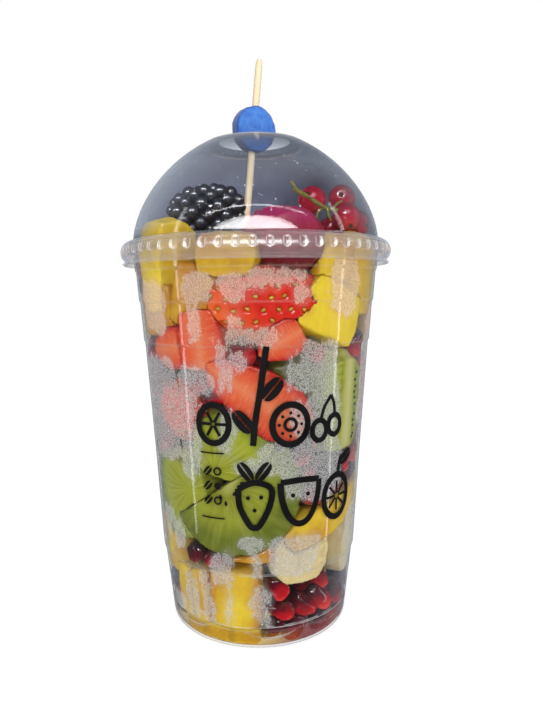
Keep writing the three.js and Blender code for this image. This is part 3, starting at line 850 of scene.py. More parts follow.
def flute_rim(azimuth, z, radius):
    """How far inside a flute's U-shaped rim a point lies, and how far it is below the flute's top."""
    pitch = 360 / FLUTES
    across = np.abs((azimuth + FLUTE_TURN + pitch / 2) % pitch - pitch / 2)
    half = FLUTE_WIDTH / 2
    below = np.maximum(FLUTE_BOTTOM + half - z, 0)
    inside = half - np.hypot(np.radians(across) * radius, below)
    return inside, smoothstep(FLUTE_TOP + 0.5, FLUTE_TOP - 0.3, z)


def flutes(azimuth, z, radius):
    """U-shaped dimples pressed into the outside of the lid's roll."""
    inside, top = flute_rim(azimuth, z, radius)
    return np.where(radius > ROLL_RADIUS, -FLUTE_DEPTH * smoothstep(-0.1, 0.45, inside) * top, 0)


LID_LIP = [(50.1, 136.4), (49.5, 136.9)]
LID_ROLL = (46.75, 140.85, 3.85, 3.75)  # middle, across and up, and half-widths
LID_FILLET = [(46.9, 144.7), (46.15, 144.85), (45.92, 145.3), (45.84, 146.0), (45.69, 147.0)]
LID_CROWN = [(18.0, 181.3), (17.4, 180.7), (16.4, 180.9), (14.4, 181.7), (13.5, 182.2)]
CROWN_RADIUS = 19.4  # where the dome ends
PLAIN_DOME = (147, 180)  # between these heights the dome's inside needs fewer points
# Height, radius and strength of the painted highlight lines round the lid
LID_EDGES = [(136.5, 50.4, 0.7), (137.9, 49.2, 0.6), (144.9, 46.6, 0.8), (182.3, 13.5, 0.45)]
# A painted highlight runs round the crown's step
CROWN_RING = (180.6, 18.2)  # the pale step round the crown: height and radius


def lid_path():
    """The middle of the lid's wall, from the roll's lower lip up to the edge of the hole."""
    half = LID_WALL / 2
    dome = []
    for angle in np.linspace(0.15, math.acos(CROWN_RADIUS / DOME_RADIUS), 28):
        r = DOME_RADIUS * math.cos(angle)
        height = DOME_BASE + DOME_HEIGHT * (1 - (r / DOME_RADIUS) ** DOME_POWER) ** (1 / DOME_POWER)
        dome.append((r - half * math.cos(angle), height - half * math.sin(angle)))
    roll = oval(*LID_ROLL, np.linspace(-56, 76, 21))
    return np.array(LID_LIP + roll + rounded(LID_FILLET, 0.4, 2).tolist() + dome + LID_CROWN)


def build_lid():
    outer, inner = sides_of(lid_path(), LID_WALL)
    low, high = PLAIN_DOME
    inner = np.array([point for i, point in enumerate(inner) if not low < point[1] < high or i % 3 == 0])
    outline = np.vstack([outer, inner[::-1]])
    piece = lathe("lid_shell", outline, LID_COLUMNS, LID_PLASTIC, sharp=60, relief=flutes)
    points = positions(piece.data)
    azimuth, radius = polar(points)
    z = points[:, 2]
    inside, top = flute_rim(azimuth, z, radius)
    # Painted highlights along the flutes' rims and the lid's folds, stored as edge
    rim = smoothstep(0.42, 0.1, np.abs(inside - 0.12)) * top * (radius > ROLL_RADIUS)
    lines = np.zeros(len(points))
    for height, near, strength in LID_EDGES:
        lines = np.maximum(lines, strength * smoothstep(0.45, 0.1, np.hypot(z - height, radius - near)))
    step = np.hypot(z - CROWN_RING[0], radius - CROWN_RING[1])
    lines = np.maximum(lines, 0.8 * smoothstep(2.8, 0.8, step))
    paint(piece.data, "edge", np.maximum(rim, lines))
    return piece


SPECKS = 90


def build_specks():
    """Small drops of water on the front of the dome, pale in colour as painted highlights."""
    dot, faces = ball(2)
    parts = []
    for _ in range(SPECKS):
        azimuth, z = rng.normal(-6, 24), rng.uniform(151, 172)
        size = 0.09 + 0.17 * rng.uniform() ** 3
        rise = 1.0 - (z - DOME_BASE) / DOME_HEIGHT
        a = math.radians(azimuth)
        basis = facing((math.sin(a) * rise, -math.cos(a) * rise, 1.1 - rise))
        drop = dot * np.array([size, size * rng.uniform(1, 1.8), size * 0.45])
        spot = on_wall(np.array(azimuth), z, wall_radius(z) + LID_WALL)
        parts.append((drop @ basis.T + spot, faces))
    return mesh_object("lid_specks", *joined(parts), DROP)


# ---------------------------------------------------------------- fruit pieces

def fit(piece, slot, *nodes):
    """Rides the part's one body, in the place of these nodes."""
    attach(piece, "root")
    if nodes:
        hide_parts(*nodes)
    return piece


def remeshed(node, voxel):
    """A fine even mesh of a CAD solid's shape."""
    scratch = bpy.data.objects.new("scratch", NODES[node].data.copy())
    bpy.context.scene.collection.objects.link(scratch)
    modifier = scratch.modifiers.new("even", "REMESH")
    modifier.mode = "VOXEL"
    modifier.voxel_size = voxel * MM
    graph = bpy.context.evaluated_depsgraph_get()
    mesh = bpy.data.meshes.new_from_object(scratch.evaluated_get(graph))
    bpy.data.objects.remove(scratch)
    return mesh


SOFTEN_ROUNDS = 3
SOFTEN_STEPS = (0.5, -0.4)  # the second step keeps the piece from shrinking


def relaxed(mesh, points):
    """Each point moved towards the middle of its neighbours, a few times."""
    edges = np.zeros(len(mesh.edges) * 2, np.int32)
    mesh.edges.foreach_get("vertices", edges)
    a, b = edges[::2], edges[1::2]
    size = len(points)
    count = np.bincount(np.concatenate([a, b]), minlength=size)[:, None]
    for weight in SOFTEN_STEPS * SOFTEN_ROUNDS:
        sums = [np.bincount(a, line[b], size) + np.bincount(b, line[a], size) for line in points.T]
        points = points + weight * (np.stack(sums, axis=1) / count - points)
    return points


CUP_TOP = DOME_BASE - 3  # above this height the fruit keeps off the wall
CLEARANCE = 0.3
CLOSE = (1.8, 0.7)  # a piece starts to reach for the wall at the first gap, and reaches it at the second


def against_wall(points):
    """Where a piece nearly touches the wall it reaches just into it, and nowhere farther."""
    azimuth, radius = polar(points)
    z = points[:, 2]
    wall = wall_radius(z)
    in_cup = z < CUP_TOP
    limit = np.where(in_cup, wall + REACH, wall - CLEARANCE)
    close = smoothstep(*CLOSE, wall - radius) * in_cup
    return on_wall(azimuth, z, np.minimum(radius + close * (limit - radius), limit))


# Each piece's own middle, where its pattern is centred: azimuth, height, roll, half-width, half-height
PATTERNS = {
    "strawberry_long": (0, 91, 124, 11, 21.5), "strawberry_wedge": (11, 109.6, 60, 7, 8.5),
    "strawberry_left": (-27, 110.5, -6, 9.5, 11.5), "strawberry_side": (-46, 107, 85, 8, 10),
    "strawberry_big": (3, 121, -6, 21, 14.5), "kiwi_half": (-16.8, 63, 0, 24, 24),
    "kiwi_upper": (-22, 66, 12, 14, 13), "kiwi_side": (-38, 58, -12, 15, 17),
    "kiwi_right": (52, 88, 0, 13, 19), "dragonfruit": (14, 142.5, 0, 13, 11),
}
# How deep each mango piece's colour is: partly ripeness and partly painted shade, as on mango_amber, which is
# darker where it lies in shade
RIPENESS_AND_SHADE = {"mango_wedge": 0.0, "mango_amber": 1.0, "mango_side": 0.95, "mango_centre": 0.6, "mango_top": 0.3,
        "mango_right": 0.0, "mango_block": 0.4, "mango_low": 0.9, "mango_slant": 0.25, "mango_fog": 0.4}
USUAL_RIPE = 0.45
# Painted shade: how far each kiwi piece is darkened towards dark olive
KIWI_PAINTED_SHADE = {"kiwi_shade": 0.75, "kiwi_half": 0.22}
KINDS = {"mango": MANGO, "kiwi": KIWI, "melon": MELON, "dragonfruit": DRAGONFRUIT, "strawberry": SKIN}
CUT_STRAWBERRIES = ("strawberry_long", "strawberry_wedge", "strawberry_left", "strawberry_side")
STRAWBERRY_OUTLINE = ([-1, -0.74, -0.05, 0.5, 0.92], [0.05, 0.5, 0.95, 0.95, 0.6])
BROAD_OUTLINE = ([-1, 1], [1.15, 0.9])
PALE_MIDDLE = 9  # a cut beside the middle of a kiwi shows none of it within this radius
PLAIN_HALF = 15  # the half-width of a piece without a pattern of its own
RAY_RADIUS = 14  # where the rays of a kiwi are as wide as their noise says
RAY_STRETCH = 1.4  # for the kiwi cut along its axis
SKIN_LIFT = 0.2
USUAL_PALENESS = 0.25


def middle_of(name):
    """The middle of a CAD solid's box, in millimetres."""
    low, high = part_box(name)
    return (np.array(low) + np.array(high)) / 2 / MM


def own_axes(name, points):
    """Points in a piece's own axes: X across, Y into the cup, Z up, all in millimetres."""
    if name in PATTERNS:
        azimuth, height, roll, half_width, half_height = PATTERNS[name]
    else:
        middle = middle_of(name)
        azimuth, height, roll = math.degrees(math.atan2(middle[0], -middle[1])), middle[2], 0
        half_width = half_height = PLAIN_HALF
    a = math.radians(azimuth)
    relative = points - on_wall(np.array(azimuth), height, wall_radius(height))
    x = relative @ np.array([math.cos(a), math.sin(a), 0])
    y = relative @ np.array([-math.sin(a), math.cos(a), 0])
    z = relative[:, 2]
    c, s = math.cos(math.radians(roll)), math.sin(math.radians(roll))
    return np.stack([x * c - z * s, y, x * s + z * c], axis=1), half_width, half_height


def kiwi_pattern(name, own):
    """How far from the middle of a kiwi's rays a point lies, and how far round it."""
    if name == "kiwi_right":
        return np.abs(own[:, 0]) * RAY_STRETCH, own[:, 2]
    radial = np.hypot(own[:, 0], own[:, 2])
    if name != "kiwi_half":
        radial = np.maximum(radial, PALE_MIDDLE)
    return radial, np.arctan2(own[:, 0], own[:, 2]) * RAY_RADIUS


def dress(name, voxel, rough):
    """A fine piece over one CAD solid, with what its material reads."""
    mesh = remeshed(name, voxel)
    points = relaxed(mesh, positions(mesh))
    set_positions(mesh, points)
    bumps = value_noise(points, 6, 11) + 0.5 * value_noise(points, 2.4, 12) - 0.75
    lift = (SKIN_LIFT + rough * bumps)[:, None]
    points = against_wall(points + vectors(mesh.vertex_normals, "vector") * lift)
    own, half_width, half_height = own_axes(name, points)
    kind = name.split("_")[0]
    material = FLESH if name in CUT_STRAWBERRIES else KINDS[kind]
    set_positions(mesh, points)
    paint(mesh, "own", own)
    if kind == "mango":
        ripe = RIPENESS_AND_SHADE.get(name, USUAL_RIPE) + 0.9 * unevenness(points, 8, 13)
        if name == "mango_block":
            # Painted shade: the block's colour deepens towards its sides and stays bright in its middle
            ripe += 0.9 * smoothstep(5, 12, np.abs(own[:, 0])) - 0.1
        paint(mesh, "ripe", ripe)
    if material is FLESH:
        outline = BROAD_OUTLINE if name == "strawberry_left" else STRAWBERRY_OUTLINE
        width = np.maximum(np.interp(own[:, 2] / half_height, *outline) * half_width, 0.5)
        paint(mesh, "across", np.hypot(own[:, 0], 0.9 * np.maximum(own[:, 1] - 2, 0)) / width)
    if material is SKIN:
        pale = smoothstep(2, -18, own[:, 0] + 0.6 * own[:, 2]) * 0.8
        paint(mesh, "pale", pale if name == "strawberry_big" else np.full(len(points), USUAL_PALENESS))
    if kind == "kiwi":
        radial, around = kiwi_pattern(name, own)
        paint(mesh, "radial", radial)
        paint(mesh, "around", around)
        paint(mesh, "dim", np.full(len(points), KIWI_PAINTED_SHADE.get(name, 0.0)))
    return fit(finish_object(name + "_flesh", mesh, material), kind, name)


OUTSIDE = 47  # a radius in millimetres beyond the wall
SEED_RADIUS, KIWI_RADIUS = 40, 38  # about how far from the axis the strawberries and kiwis lie
SKIN_SEED = np.array([0.54, 0.85, 0.42])
SEED_ROWS, SEED_STEP = 3.9, 6.4  # millimetres up, and degrees round
DIMPLE, DIMPLE_RIM = (0.95, 1.1), (0.35, 0.8)  # depth or height, and width
RIM_RADIUS = 2.2
STEEPEST = -0.35  # skin that turns farther from the wall than this gets no seeds
SEED_SINK = 0.45
KIWI_SEED = np.array([0.55, 0.35, 1.0])
KIWI_SEEDS = 13
KIWI_RING = (5.4, 8.4)  # how far from the middle the seeds lie
KIWI_BAND, BAND_HALF = (4.0, 5.4), 17  # the same for the kiwi cut along its axis, and their reach up and down
KIWI_SEED_REACH = 0.25


def tree_over(piece):
    return BVHTree.FromObject(piece, bpy.context.evaluated_depsgraph_get())


def seen_from_wall(tree, start, azimuth):
    """Where a line from outside towards the axis meets a piece, its normal there and the line's way."""
    a = math.radians(azimuth)
    inward = Vector((-math.sin(a), math.cos(a), 0))
    hit, normal, _, _ = tree.ray_cast(Vector(start) * MM, inward)
    return hit, normal, inward


def skin_seeds(pieces):
    """Seeds in their dimples over every piece of strawberry that shows its skin."""
    dot, dot_faces = ball(2)
    parts = []
    for piece in pieces:
        mesh = piece.data
        points = positions(mesh)
        tree = tree_over(piece)
        low, high = points.min(0), points.max(0)
        centre = (low + high) / 2
        azimuth0 = math.degrees(math.atan2(centre[0], -centre[1]))
        reach = math.degrees((high - low)[:2].max() / 2 / SEED_RADIUS)
        for row, z in enumerate(np.arange(low[2] + 2, high[2] - 1, SEED_ROWS)):
            for azimuth in np.arange(-reach, reach, SEED_STEP) + azimuth0 + (row % 2) * SEED_STEP / 2:
                jitter = rng.uniform(-1, 1, 2)
                start = on_wall(np.array(azimuth + 0.9 * jitter[0]), z + 0.6 * jitter[1], OUTSIDE)
                hit, normal, inward = seen_from_wall(tree, start, azimuth)
                if hit is None or normal.dot(inward) > STEEPEST:
                    continue
                spot = np.array(hit) / MM
                near = np.linalg.norm(points - spot, axis=1)
                dent = DIMPLE[0] * np.exp(-((near / DIMPLE[1]) ** 2))
                dent -= DIMPLE_RIM[0] * np.exp(-(((near - RIM_RADIUS) / DIMPLE_RIM[1]) ** 2))
                points = points - np.array(normal) * dent[:, None]
                basis = facing(normal)
                twist = np.array(turned(rng.uniform(0.9, 2.2), "Z"))
                seed = dot * SKIN_SEED
                seed[:, 0] *= 1 - 0.35 * dot[:, 1]
                parts.append((seed @ twist.T @ basis.T + spot - np.array(normal) * SEED_SINK, dot_faces))
        set_positions(mesh, within_wall(points, 2 * REACH))
    fit(mesh_object("strawberry_pips", *joined(parts), SEED), "strawberry")


def kiwi_seeds(pieces):
    """Dark seeds round a kiwi's pale middle, or along it where the kiwi is cut lengthways."""
    dot, dot_faces = ball(2)
    parts = []
    by_name = {piece.name: piece for piece in pieces}
    for name in ("kiwi_half", "kiwi_right"):
        tree = tree_over(by_name[name + "_flesh"])
        azimuth, height = PATTERNS[name][:2]
        for i in range(KIWI_SEEDS):
            if name == "kiwi_right":
                x = rng.uniform(*KIWI_BAND)
                z = -BAND_HALF + 2 * BAND_HALF * (i + rng.uniform()) / KIWI_SEEDS
                roll = math.pi / 2
            else:
                angle = 2 * math.pi * (i + rng.uniform(0, 0.6)) / KIWI_SEEDS
                x, z = np.array([math.sin(angle), math.cos(angle)]) * rng.uniform(*KIWI_RING)
                roll = -math.atan2(x, z)
            spot = azimuth + math.degrees(x / KIWI_RADIUS)
            hit, _, _ = seen_from_wall(tree, on_wall(np.array(spot), height + z, OUTSIDE), spot)
            if hit is None:
                continue
            face = turned(math.radians(spot), "Z") @ turned(roll, "Y")
            seed = dot * KIWI_SEED
            seed[:, 0] *= 1 + 0.3 * dot[:, 2]
            parts.append((seed @ np.array(face).T + np.array(hit) / MM, dot_faces))
    points, faces = joined(parts)
    fit(mesh_object("kiwi_pips", within_wall(points, KIWI_SEED_REACH), faces, DARK_SEED), "kiwi")


# ---------------------------------------------------------------- pomegranate

CORE_INSET = 13.3
CORE_HEIGHTS = (6.4, 20, 50, 100, 130)
CORE_TOP = [(24, 139), (14, 144.5), (0, 145.5)]
ARIL_SHAPES = 5
ARIL_FACETS = 6
ARIL_SIZE = np.array([4.6, 4.1, 6.2])
ARIL_LAYERS = (3.5, 9.5)  # how far the middles of the seeds lie from the wall
ARIL_SPACING = 7.4
ARIL_ROOM = 2.7  # the least gap between a seed's middle and a piece
# The seeds carry a painted glow, brighter low down and towards the front
ARIL_PAINTED_GLOW_WAY = np.array([0.25, -0.35, -1])  # the way each seed grows brighter
ARIL_SEARCH = 0.0042  # metres


def build_core():
    """The heap behind the pieces, dark partly in its own colour and partly as painted shade in the gaps
    between them.
    """
    path = [(0, CORE_HEIGHTS[0])] + [(wall_radius(z) - CORE_INSET, z) for z in CORE_HEIGHTS] + CORE_TOP

    def uneven(azimuth, z, radius):
        points = on_wall(azimuth.ravel(), z.ravel(), radius.ravel())
        return np.where(radius > 2, 2.2 * unevenness(points, 8, 21).reshape(radius.shape), 0)

    return lathe("heap_core", resampled(rounded(path, 3, 4), 2.2), 120, CORE, relief=uneven)


def aril_shapes():
    """A few different seeds: drops with flattened sides, because they grow pressed together."""
    shapes = []
    dot, faces = ball(3)
    for _ in range(ARIL_SHAPES):
        points = dot * ARIL_SIZE
        points[:, :2] *= (1 - 0.16 * dot[:, 2:3])
        for _ in range(ARIL_FACETS):
            way = unit(rng.normal(size=3) * np.array([1, 1, 0.45]))
            over = points @ way - rng.uniform(0.5, 0.74) * np.abs(points @ way).max()
            points = points - np.outer(np.maximum(over, 0) * 0.9, way)
        shapes.append(points)
    return shapes, faces


def tree_of(pieces):
    """One search tree over several pieces."""
    parts = [(positions(p.data) * MM, [tuple(f.vertices) for f in p.data.polygons]) for p in pieces]
    points, faces = joined(parts)
    return BVHTree.FromPolygons(points.tolist(), faces)


def is_inside(tree, place):
    """Whether a line straight up from a place leaves a piece from within."""
    _, normal, _, _ = tree.ray_cast(place, Vector((0, 0, 1)))
    return normal is not None and normal.z > 0


def build_arils(pieces):
    """Seeds wherever there is room between the core, the pieces and the wall."""
    shapes, faces = aril_shapes()
    trees = [tree_over(piece) for piece in pieces]
    placed, parts, tones_and_painted_glows = [], [], []
    spots = [(azimuth + rng.uniform(-1.4, 1.4), z + rng.uniform(-0.9, 0.9), inset) for inset in ARIL_LAYERS
             for z in np.arange(6.2, 134, 2.6) for azimuth in np.arange(-180, 180, 4.0)]
    for azimuth, z, inset in spots:
        centre = on_wall(np.array(azimuth), z, wall_radius(z) - inset)
        if placed and min(np.linalg.norm(np.array(placed) - centre, axis=1)) < ARIL_SPACING:
            continue
        place = Vector(centre) * MM
        near = [tree.find_nearest(place, ARIL_SEARCH)[0] for tree in trees]
        if any(hit is not None and (place - hit).length / MM < ARIL_ROOM for hit in near):
            continue
        if any(is_inside(tree, place) for tree in trees):
            continue
        placed.append(centre)
        turn = turned(rng.uniform(0, 6.28), "Z") @ turned(rng.uniform(0.2, 2.8), "X")
        points = shapes[len(placed) % len(shapes)] @ np.array(turn).T * rng.uniform(0.92, 1.1) + centre
        # Painted glow towards the seed's lower front, and a random tone of its own
        tones_and_painted_glows.append(0.36 + 0.09 * (points - centre) @ ARIL_PAINTED_GLOW_WAY + rng.uniform(-0.25, 0.2))
        parts.append((within_wall(points, REACH), faces))
    points, all_faces = joined(parts)
    mesh = bpy.data.meshes.new("pomegranate_arils")
    mesh.from_pydata((points * MM).tolist(), [], all_faces)
    paint(mesh, "glow", np.concatenate(tones_and_painted_glows))
    return finish_object("pomegranate_arils", mesh, ARIL)


# ---------------------------------------------------------------- under the dome

BERRY_CENTRE = np.array([-17.4, -17, 154.7])
BERRY_CORE = np.array([11.9, 6.1, 6.1])  # half-widths of the ball under the drupelets
DRUPELETS = 58
DRUPELET_RADIUS = 2.35
GOLDEN_ANGLE = 2.39996


def build_berry():
    """Glossy drupelets in a spiral round the berry's long axis."""
    dot, faces = ball(3)
    lean = np.array(turned(math.radians(-8), "Y"))
    parts = [(dot * BERRY_CORE @ lean.T + BERRY_CENTRE, faces)]
    for i in range(DRUPELETS):
        x = 1 - 2 * (i + 0.5) / DRUPELETS
        angle = i * GOLDEN_ANGLE
        around = math.sqrt(1 - abs(x) ** 2.6)
        spot = np.array([x * 12.2, 7.5 * around * math.cos(angle), 7.0 * around * math.sin(angle)])
        radius = DRUPELET_RADIUS * rng.uniform(0.93, 1.07) * (0.84 + 0.16 * around)
        bead = dot * radius * np.array([1, 1, 1.04]) + spot * 1.02
        parts.append((bead @ lean.T + BERRY_CENTRE, faces))
    return mesh_object("dark_berry_drupelets", *joined(parts), BERRY)


# The way each currant's dried flower points
CURRANTS = {"currant_1": (-0.35, -0.75, 0.3), "currant_2": (-0.15, -0.85, 0.1),
            "currant_3": (0.2, -0.5, -0.6), "currant_4": (-0.5, -0.6, -0.4), "currant_5": (0.6, -0.6, -0.2)}
CURRANT_RADIUS = 4.9
SEPALS = 7
SEPAL_RADII = [0.2, 0.22, 0.2, 0.14, 0.06]


def build_currants():
    """Round currants, each with a tuft of dried sepals."""
    dot, faces = ball(4)
    tufts = []
    for name, way in CURRANTS.items():
        centre = middle_of(name)
        basis = facing(way)
        pole = np.exp(-(1 - dot[:, 2]) / 0.02) * 0.12
        points = dot * (1 - pole)[:, None] * CURRANT_RADIUS * np.array([1, 1, 0.97])
        piece = mesh_object(name + "_skin", points @ basis.T + centre, faces, CURRANT)
        paint(piece.data, "own", points)
        # Painted glow: brighter low down on each currant, darker on top
        paint(piece.data, "glow", 0.45 - 0.3 * (points @ basis.T)[:, 2] / 4.8)
        fit(piece, "currant", name)
        for a in 2 * math.pi * np.arange(SEPALS) / SEPALS:
            start = np.array([0.25 * math.cos(a), 0.25 * math.sin(a), 4.2])
            tip = np.array([0.75 * math.cos(a + 0.4), 0.75 * math.sin(a + 0.4), 5.1 + 0.5 * rng.uniform()])
            bend = (start + tip) / 2 + [0, 0, 0.15]
            sepal, sepal_faces = tube(spline([start, bend, tip], len(SEPAL_RADII)), SEPAL_RADII, 6)
            tufts.append((sepal @ basis.T + centre, sepal_faces))
    fit(mesh_object("currant_calyxes", *joined(tufts), CALYX), "currant_stalk")


STALK_POINTS = 22
STALK_PATH = [(12.8, -28.4, 160.3), (17.8, -28.4, 157.6), (23.6, -28.4, 153.9), (28, -27, 153.2)]
# Side twigs: which point of the stalk each leaves from, then its bend and its end
TWIGS = [(14, (21.2, -29.0, 152.6), (20.6, -29.3, 150.2)), (15, (24.6, -28.6, 151.6), (25.6, -28.2, 149.6)),
         (18, (27.6, -27.6, 155.2), (29.6, -25.4, 156.6)), (2, (12.9, -28.7, 161.6), (11.7, -28.8, 162.8))]


def build_stalk():
    main = spline(STALK_PATH, STALK_POINTS)
    parts = [tube(main, 0.62 + 0.18 * np.sin(np.linspace(0, 9, STALK_POINTS)) ** 2, 12)]
    for start, bend, tip in TWIGS:
        parts.append(tube(spline([main[start], bend, tip], 9), np.linspace(0.55, 0.32, 9), 8))
    return mesh_object("currant_twig", *joined(parts), STALK)


PICK_TOP = np.array([2.2, 0, 212.2])
PICK_END = np.array([-6.1, 0, 126])
PICK_RADIUS = 1.32
PICK_END_RADII = (1.25, 1.0)
PICK_ROWS = 60
DISC_HEIGHT = 187
DISC_TURN = math.radians(30)
DISC_COLUMNS = 120
DISC_PROFILE = [(0, -2.5), (8.2, -2.5), (8.3, 2.5), (0, 2.5)]  # radius, and how far along its axis


def build_pick():
    path = PICK_END + (PICK_TOP - PICK_END) * np.linspace(0, 1, PICK_ROWS)[:, None]
    radius = np.full(PICK_ROWS, PICK_RADIUS)
    radius[-2:] = PICK_END_RADII
    points, faces = tube(path, radius, 20)
    points = points + 0.08 * unevenness(points * [1, 1, 0.1], 0.9, 31)[:, None]
    return mesh_object("pick_shaft", points, faces, WOOD, sharp=50)


def build_disc():
    """A thick felt disc with soft edges on the pick, and painted shade round its rim."""
    along = unit(PICK_TOP - PICK_END)
    centre = PICK_END + (PICK_TOP - PICK_END) * (DISC_HEIGHT - PICK_END[2]) / (PICK_TOP[2] - PICK_END[2])
    axis = np.array([math.sin(DISC_TURN), -math.cos(DISC_TURN), 0])
    axis = unit(axis - along * (axis @ along))
    side = np.cross(along, axis)
    path = resampled(rounded(DISC_PROFILE, 0.7, 4), 0.45)
    angles = np.arange(DISC_COLUMNS) * 2 * math.pi / DISC_COLUMNS
    rim = 1 + 0.012 * np.sin(5 * angles + 1) + 0.01 * np.sin(9 * angles)
    points = np.array([centre + axis * h + (side * math.cos(a) + along * math.sin(a)) * r * wobble
                       for r, h in path for a, wobble in zip(angles, rim)])
    fuzz = value_noise(points, 0.55, 41) + 0.6 * value_noise(points, 1.3, 42) - 0.8
    out = points - centre
    out /= np.maximum(np.linalg.norm(out, axis=1), 1e-6)[:, None]
    points = points + out * (fuzz * 0.16)[:, None] + axis * (fuzz * 0.12)[:, None]
    piece = mesh_object("pick_felt", points, grid_faces(len(path), DISC_COLUMNS), FELT)
    off = positions(piece.data) - centre
    across = np.abs(off @ axis)
    away = np.linalg.norm(off - np.outer(off @ axis, axis), axis=1)
    # Painted shade on the rim band, which the felt reads as side
    paint(piece.data, "side", 0.9 * smoothstep(2.7, 2.2, across) * smoothstep(7.2, 7.8, away))
    return piece


# Ends of mango that lie in the juice at the foot: azimuth, half-width, height of the top
SUNK_MANGO = [(-44, 5.5, 7.2), (-27, 7.0, 7.4), (-10, 6.0, 7.6), (62, 7.0, 7.0), (118, 6.0, 7.4),
              (171, 7.5, 7.0), (-128, 6.5, 7.5), (-84, 6.0, 7.0)]
SUNK_BOTTOM = 1.3
CHANNEL_RADIUS, CHANNEL_LIMIT = 31.2, 33.6
JUICE_PATH = [(0, 5.05), (27.3, 5.1), (28.6, 2.2), (30.0, 0.85), (33.0, 0.85), (33.95, 2.0),
              (34.6, JUICE_LEVEL - 0.2), (34.45, JUICE_LEVEL), (0, JUICE_LEVEL)]


def build_sunk_mango():
    """Blocks in the channel round the foot, wholly in the juice but for their tops."""
    dot, faces = ball(4)
    cube = dot / (np.abs(dot) ** 5).sum(1)[:, None] ** (1 / 5)
    parts = []
    for azimuth, half_width, top in SUNK_MANGO:
        middle = (SUNK_BOTTOM + top) / 2
        block = cube * np.array([half_width, 2.5, middle - SUNK_BOTTOM])
        block = block @ np.array(turned(math.radians(azimuth), "Z")).T
        block = block + on_wall(np.array(azimuth), middle, CHANNEL_RADIUS)
        block = block + 0.5 * unevenness(block, 4, 51)[:, None]
        parts.append((within(block, CHANNEL_LIMIT), faces))
    points, all_faces = joined(parts)
    piece = mesh_object("sunk_mango", points, all_faces, MANGO)
    paint(piece.data, "own", points)
    paint(piece.data, "ripe", np.full(len(points), 0.15))
    return piece


def build_juice():
    """Juice up to its level in the foot, reaching just into the wall."""
    return lathe("juice_pool", resampled(rounded(JUICE_PATH, 0.4, 3), 2.0), 160, JUICE, sharp=40)


# ---------------------------------------------------------------- print

PRINT_AZIMUTH = 6.0  # the middle of the print
PRINT_THICKNESS = 0.12
PRINT_SINK = 0.03  # how far it reaches into the wall
LEAF_POINTS = 14
VEIN_HALF = 0.22


def ribbon(path, width, closed=False):
    """A flat stroke along a path, as points and faces in the print's plane."""
    path = np.asarray(path, float)
    side = beside(np.roll(path, -1, 0) - np.roll(path, 1, 0) if closed else np.gradient(path, axis=0))
    points = np.stack([path + side * width / 2, path, path - side * width / 2], axis=1).reshape(-1, 2)
    rows = len(path)
    faces = []
    for i in range(rows if closed else rows - 1):
        for a, b in ((i * 3 + j, (i + 1) % rows * 3 + j) for j in range(2)):
            faces.append((a, b, b + 1, a + 1))
    return points, faces


def arc(cx, cz, rx, rz, start=0, end=360, steps=48):
    angles = np.radians(np.linspace(start, end, steps, endpoint=abs(end - start) < 360))
    return np.stack([cx + rx * np.sin(angles), cz + rz * np.cos(angles)], axis=1)


def ring(cx, cz, rx, rz, width):
    return ribbon(arc(cx, cz, rx, rz), width, closed=True)


def stroke(points, width, steps=14):
    return ribbon(spline([(x, z, 0) for x, z in points], steps)[:, :2], width)


def filled(outline):
    """A solid shape: rings of its outline drawn in towards its middle."""
    outline = np.asarray(outline, float)
    middle = outline.mean(0)
    count = len(outline)
    points = np.vstack([outline, middle + (outline - middle) * 0.5, [middle]])
    faces = []
    for i in range(count):
        j = (i + 1) % count
        faces += [(i, j, count + j, count + i), (count + i, count + j, 2 * count)]
    return points, faces


def dots(radius, *places):
    return [filled(arc(x, z, radius, radius, steps=20)) for x, z in places]


def leaf(cx, cz, length, width, angle):
    """A pointed leaf in two halves with a clear vein between them."""
    t = np.linspace(0, math.pi, LEAF_POINTS)
    c, s = math.cos(math.radians(angle)), math.sin(math.radians(angle))
    parts = []
    for half in (1, -1):
        along = -np.cos(t) * length / 2
        away = half * (VEIN_HALF + np.sin(t) ** 0.8 * width / 2)
        edge = np.stack([away, along], axis=1)
        vein = np.stack([np.full(LEAF_POINTS, half * VEIN_HALF), along[::-1]], axis=1)
        parts.append(filled(np.vstack([edge, vein]) @ np.array([[c, -s], [s, c]]) + np.array([cx, cz])))
    return parts


def spokes(cx, cz, inner, outer, count, width, start=0.0):
    angles = np.radians(start + np.arange(count) * 360 / count)
    return [stroke([(cx + r * math.sin(a), cz + r * math.cos(a)) for r in np.linspace(inner, outer, 3)],
                   width, 5) for a in angles]


SEED_RING = [(6.8 + 3.9 * math.sin(a), 82.2 + 4.0 * math.cos(a)) for a in np.radians(np.arange(8) * 45)]
BERRY_OUTLINE = [(-11.0, 60.4), (-10.4, 54.0), (-7.2, 47.6), (-5.4, 46.6), (-3.6, 47.6), (-0.4, 54.0),
                 (0.2, 60.4), (-5.4, 62.6), (-11.0, 60.4)]


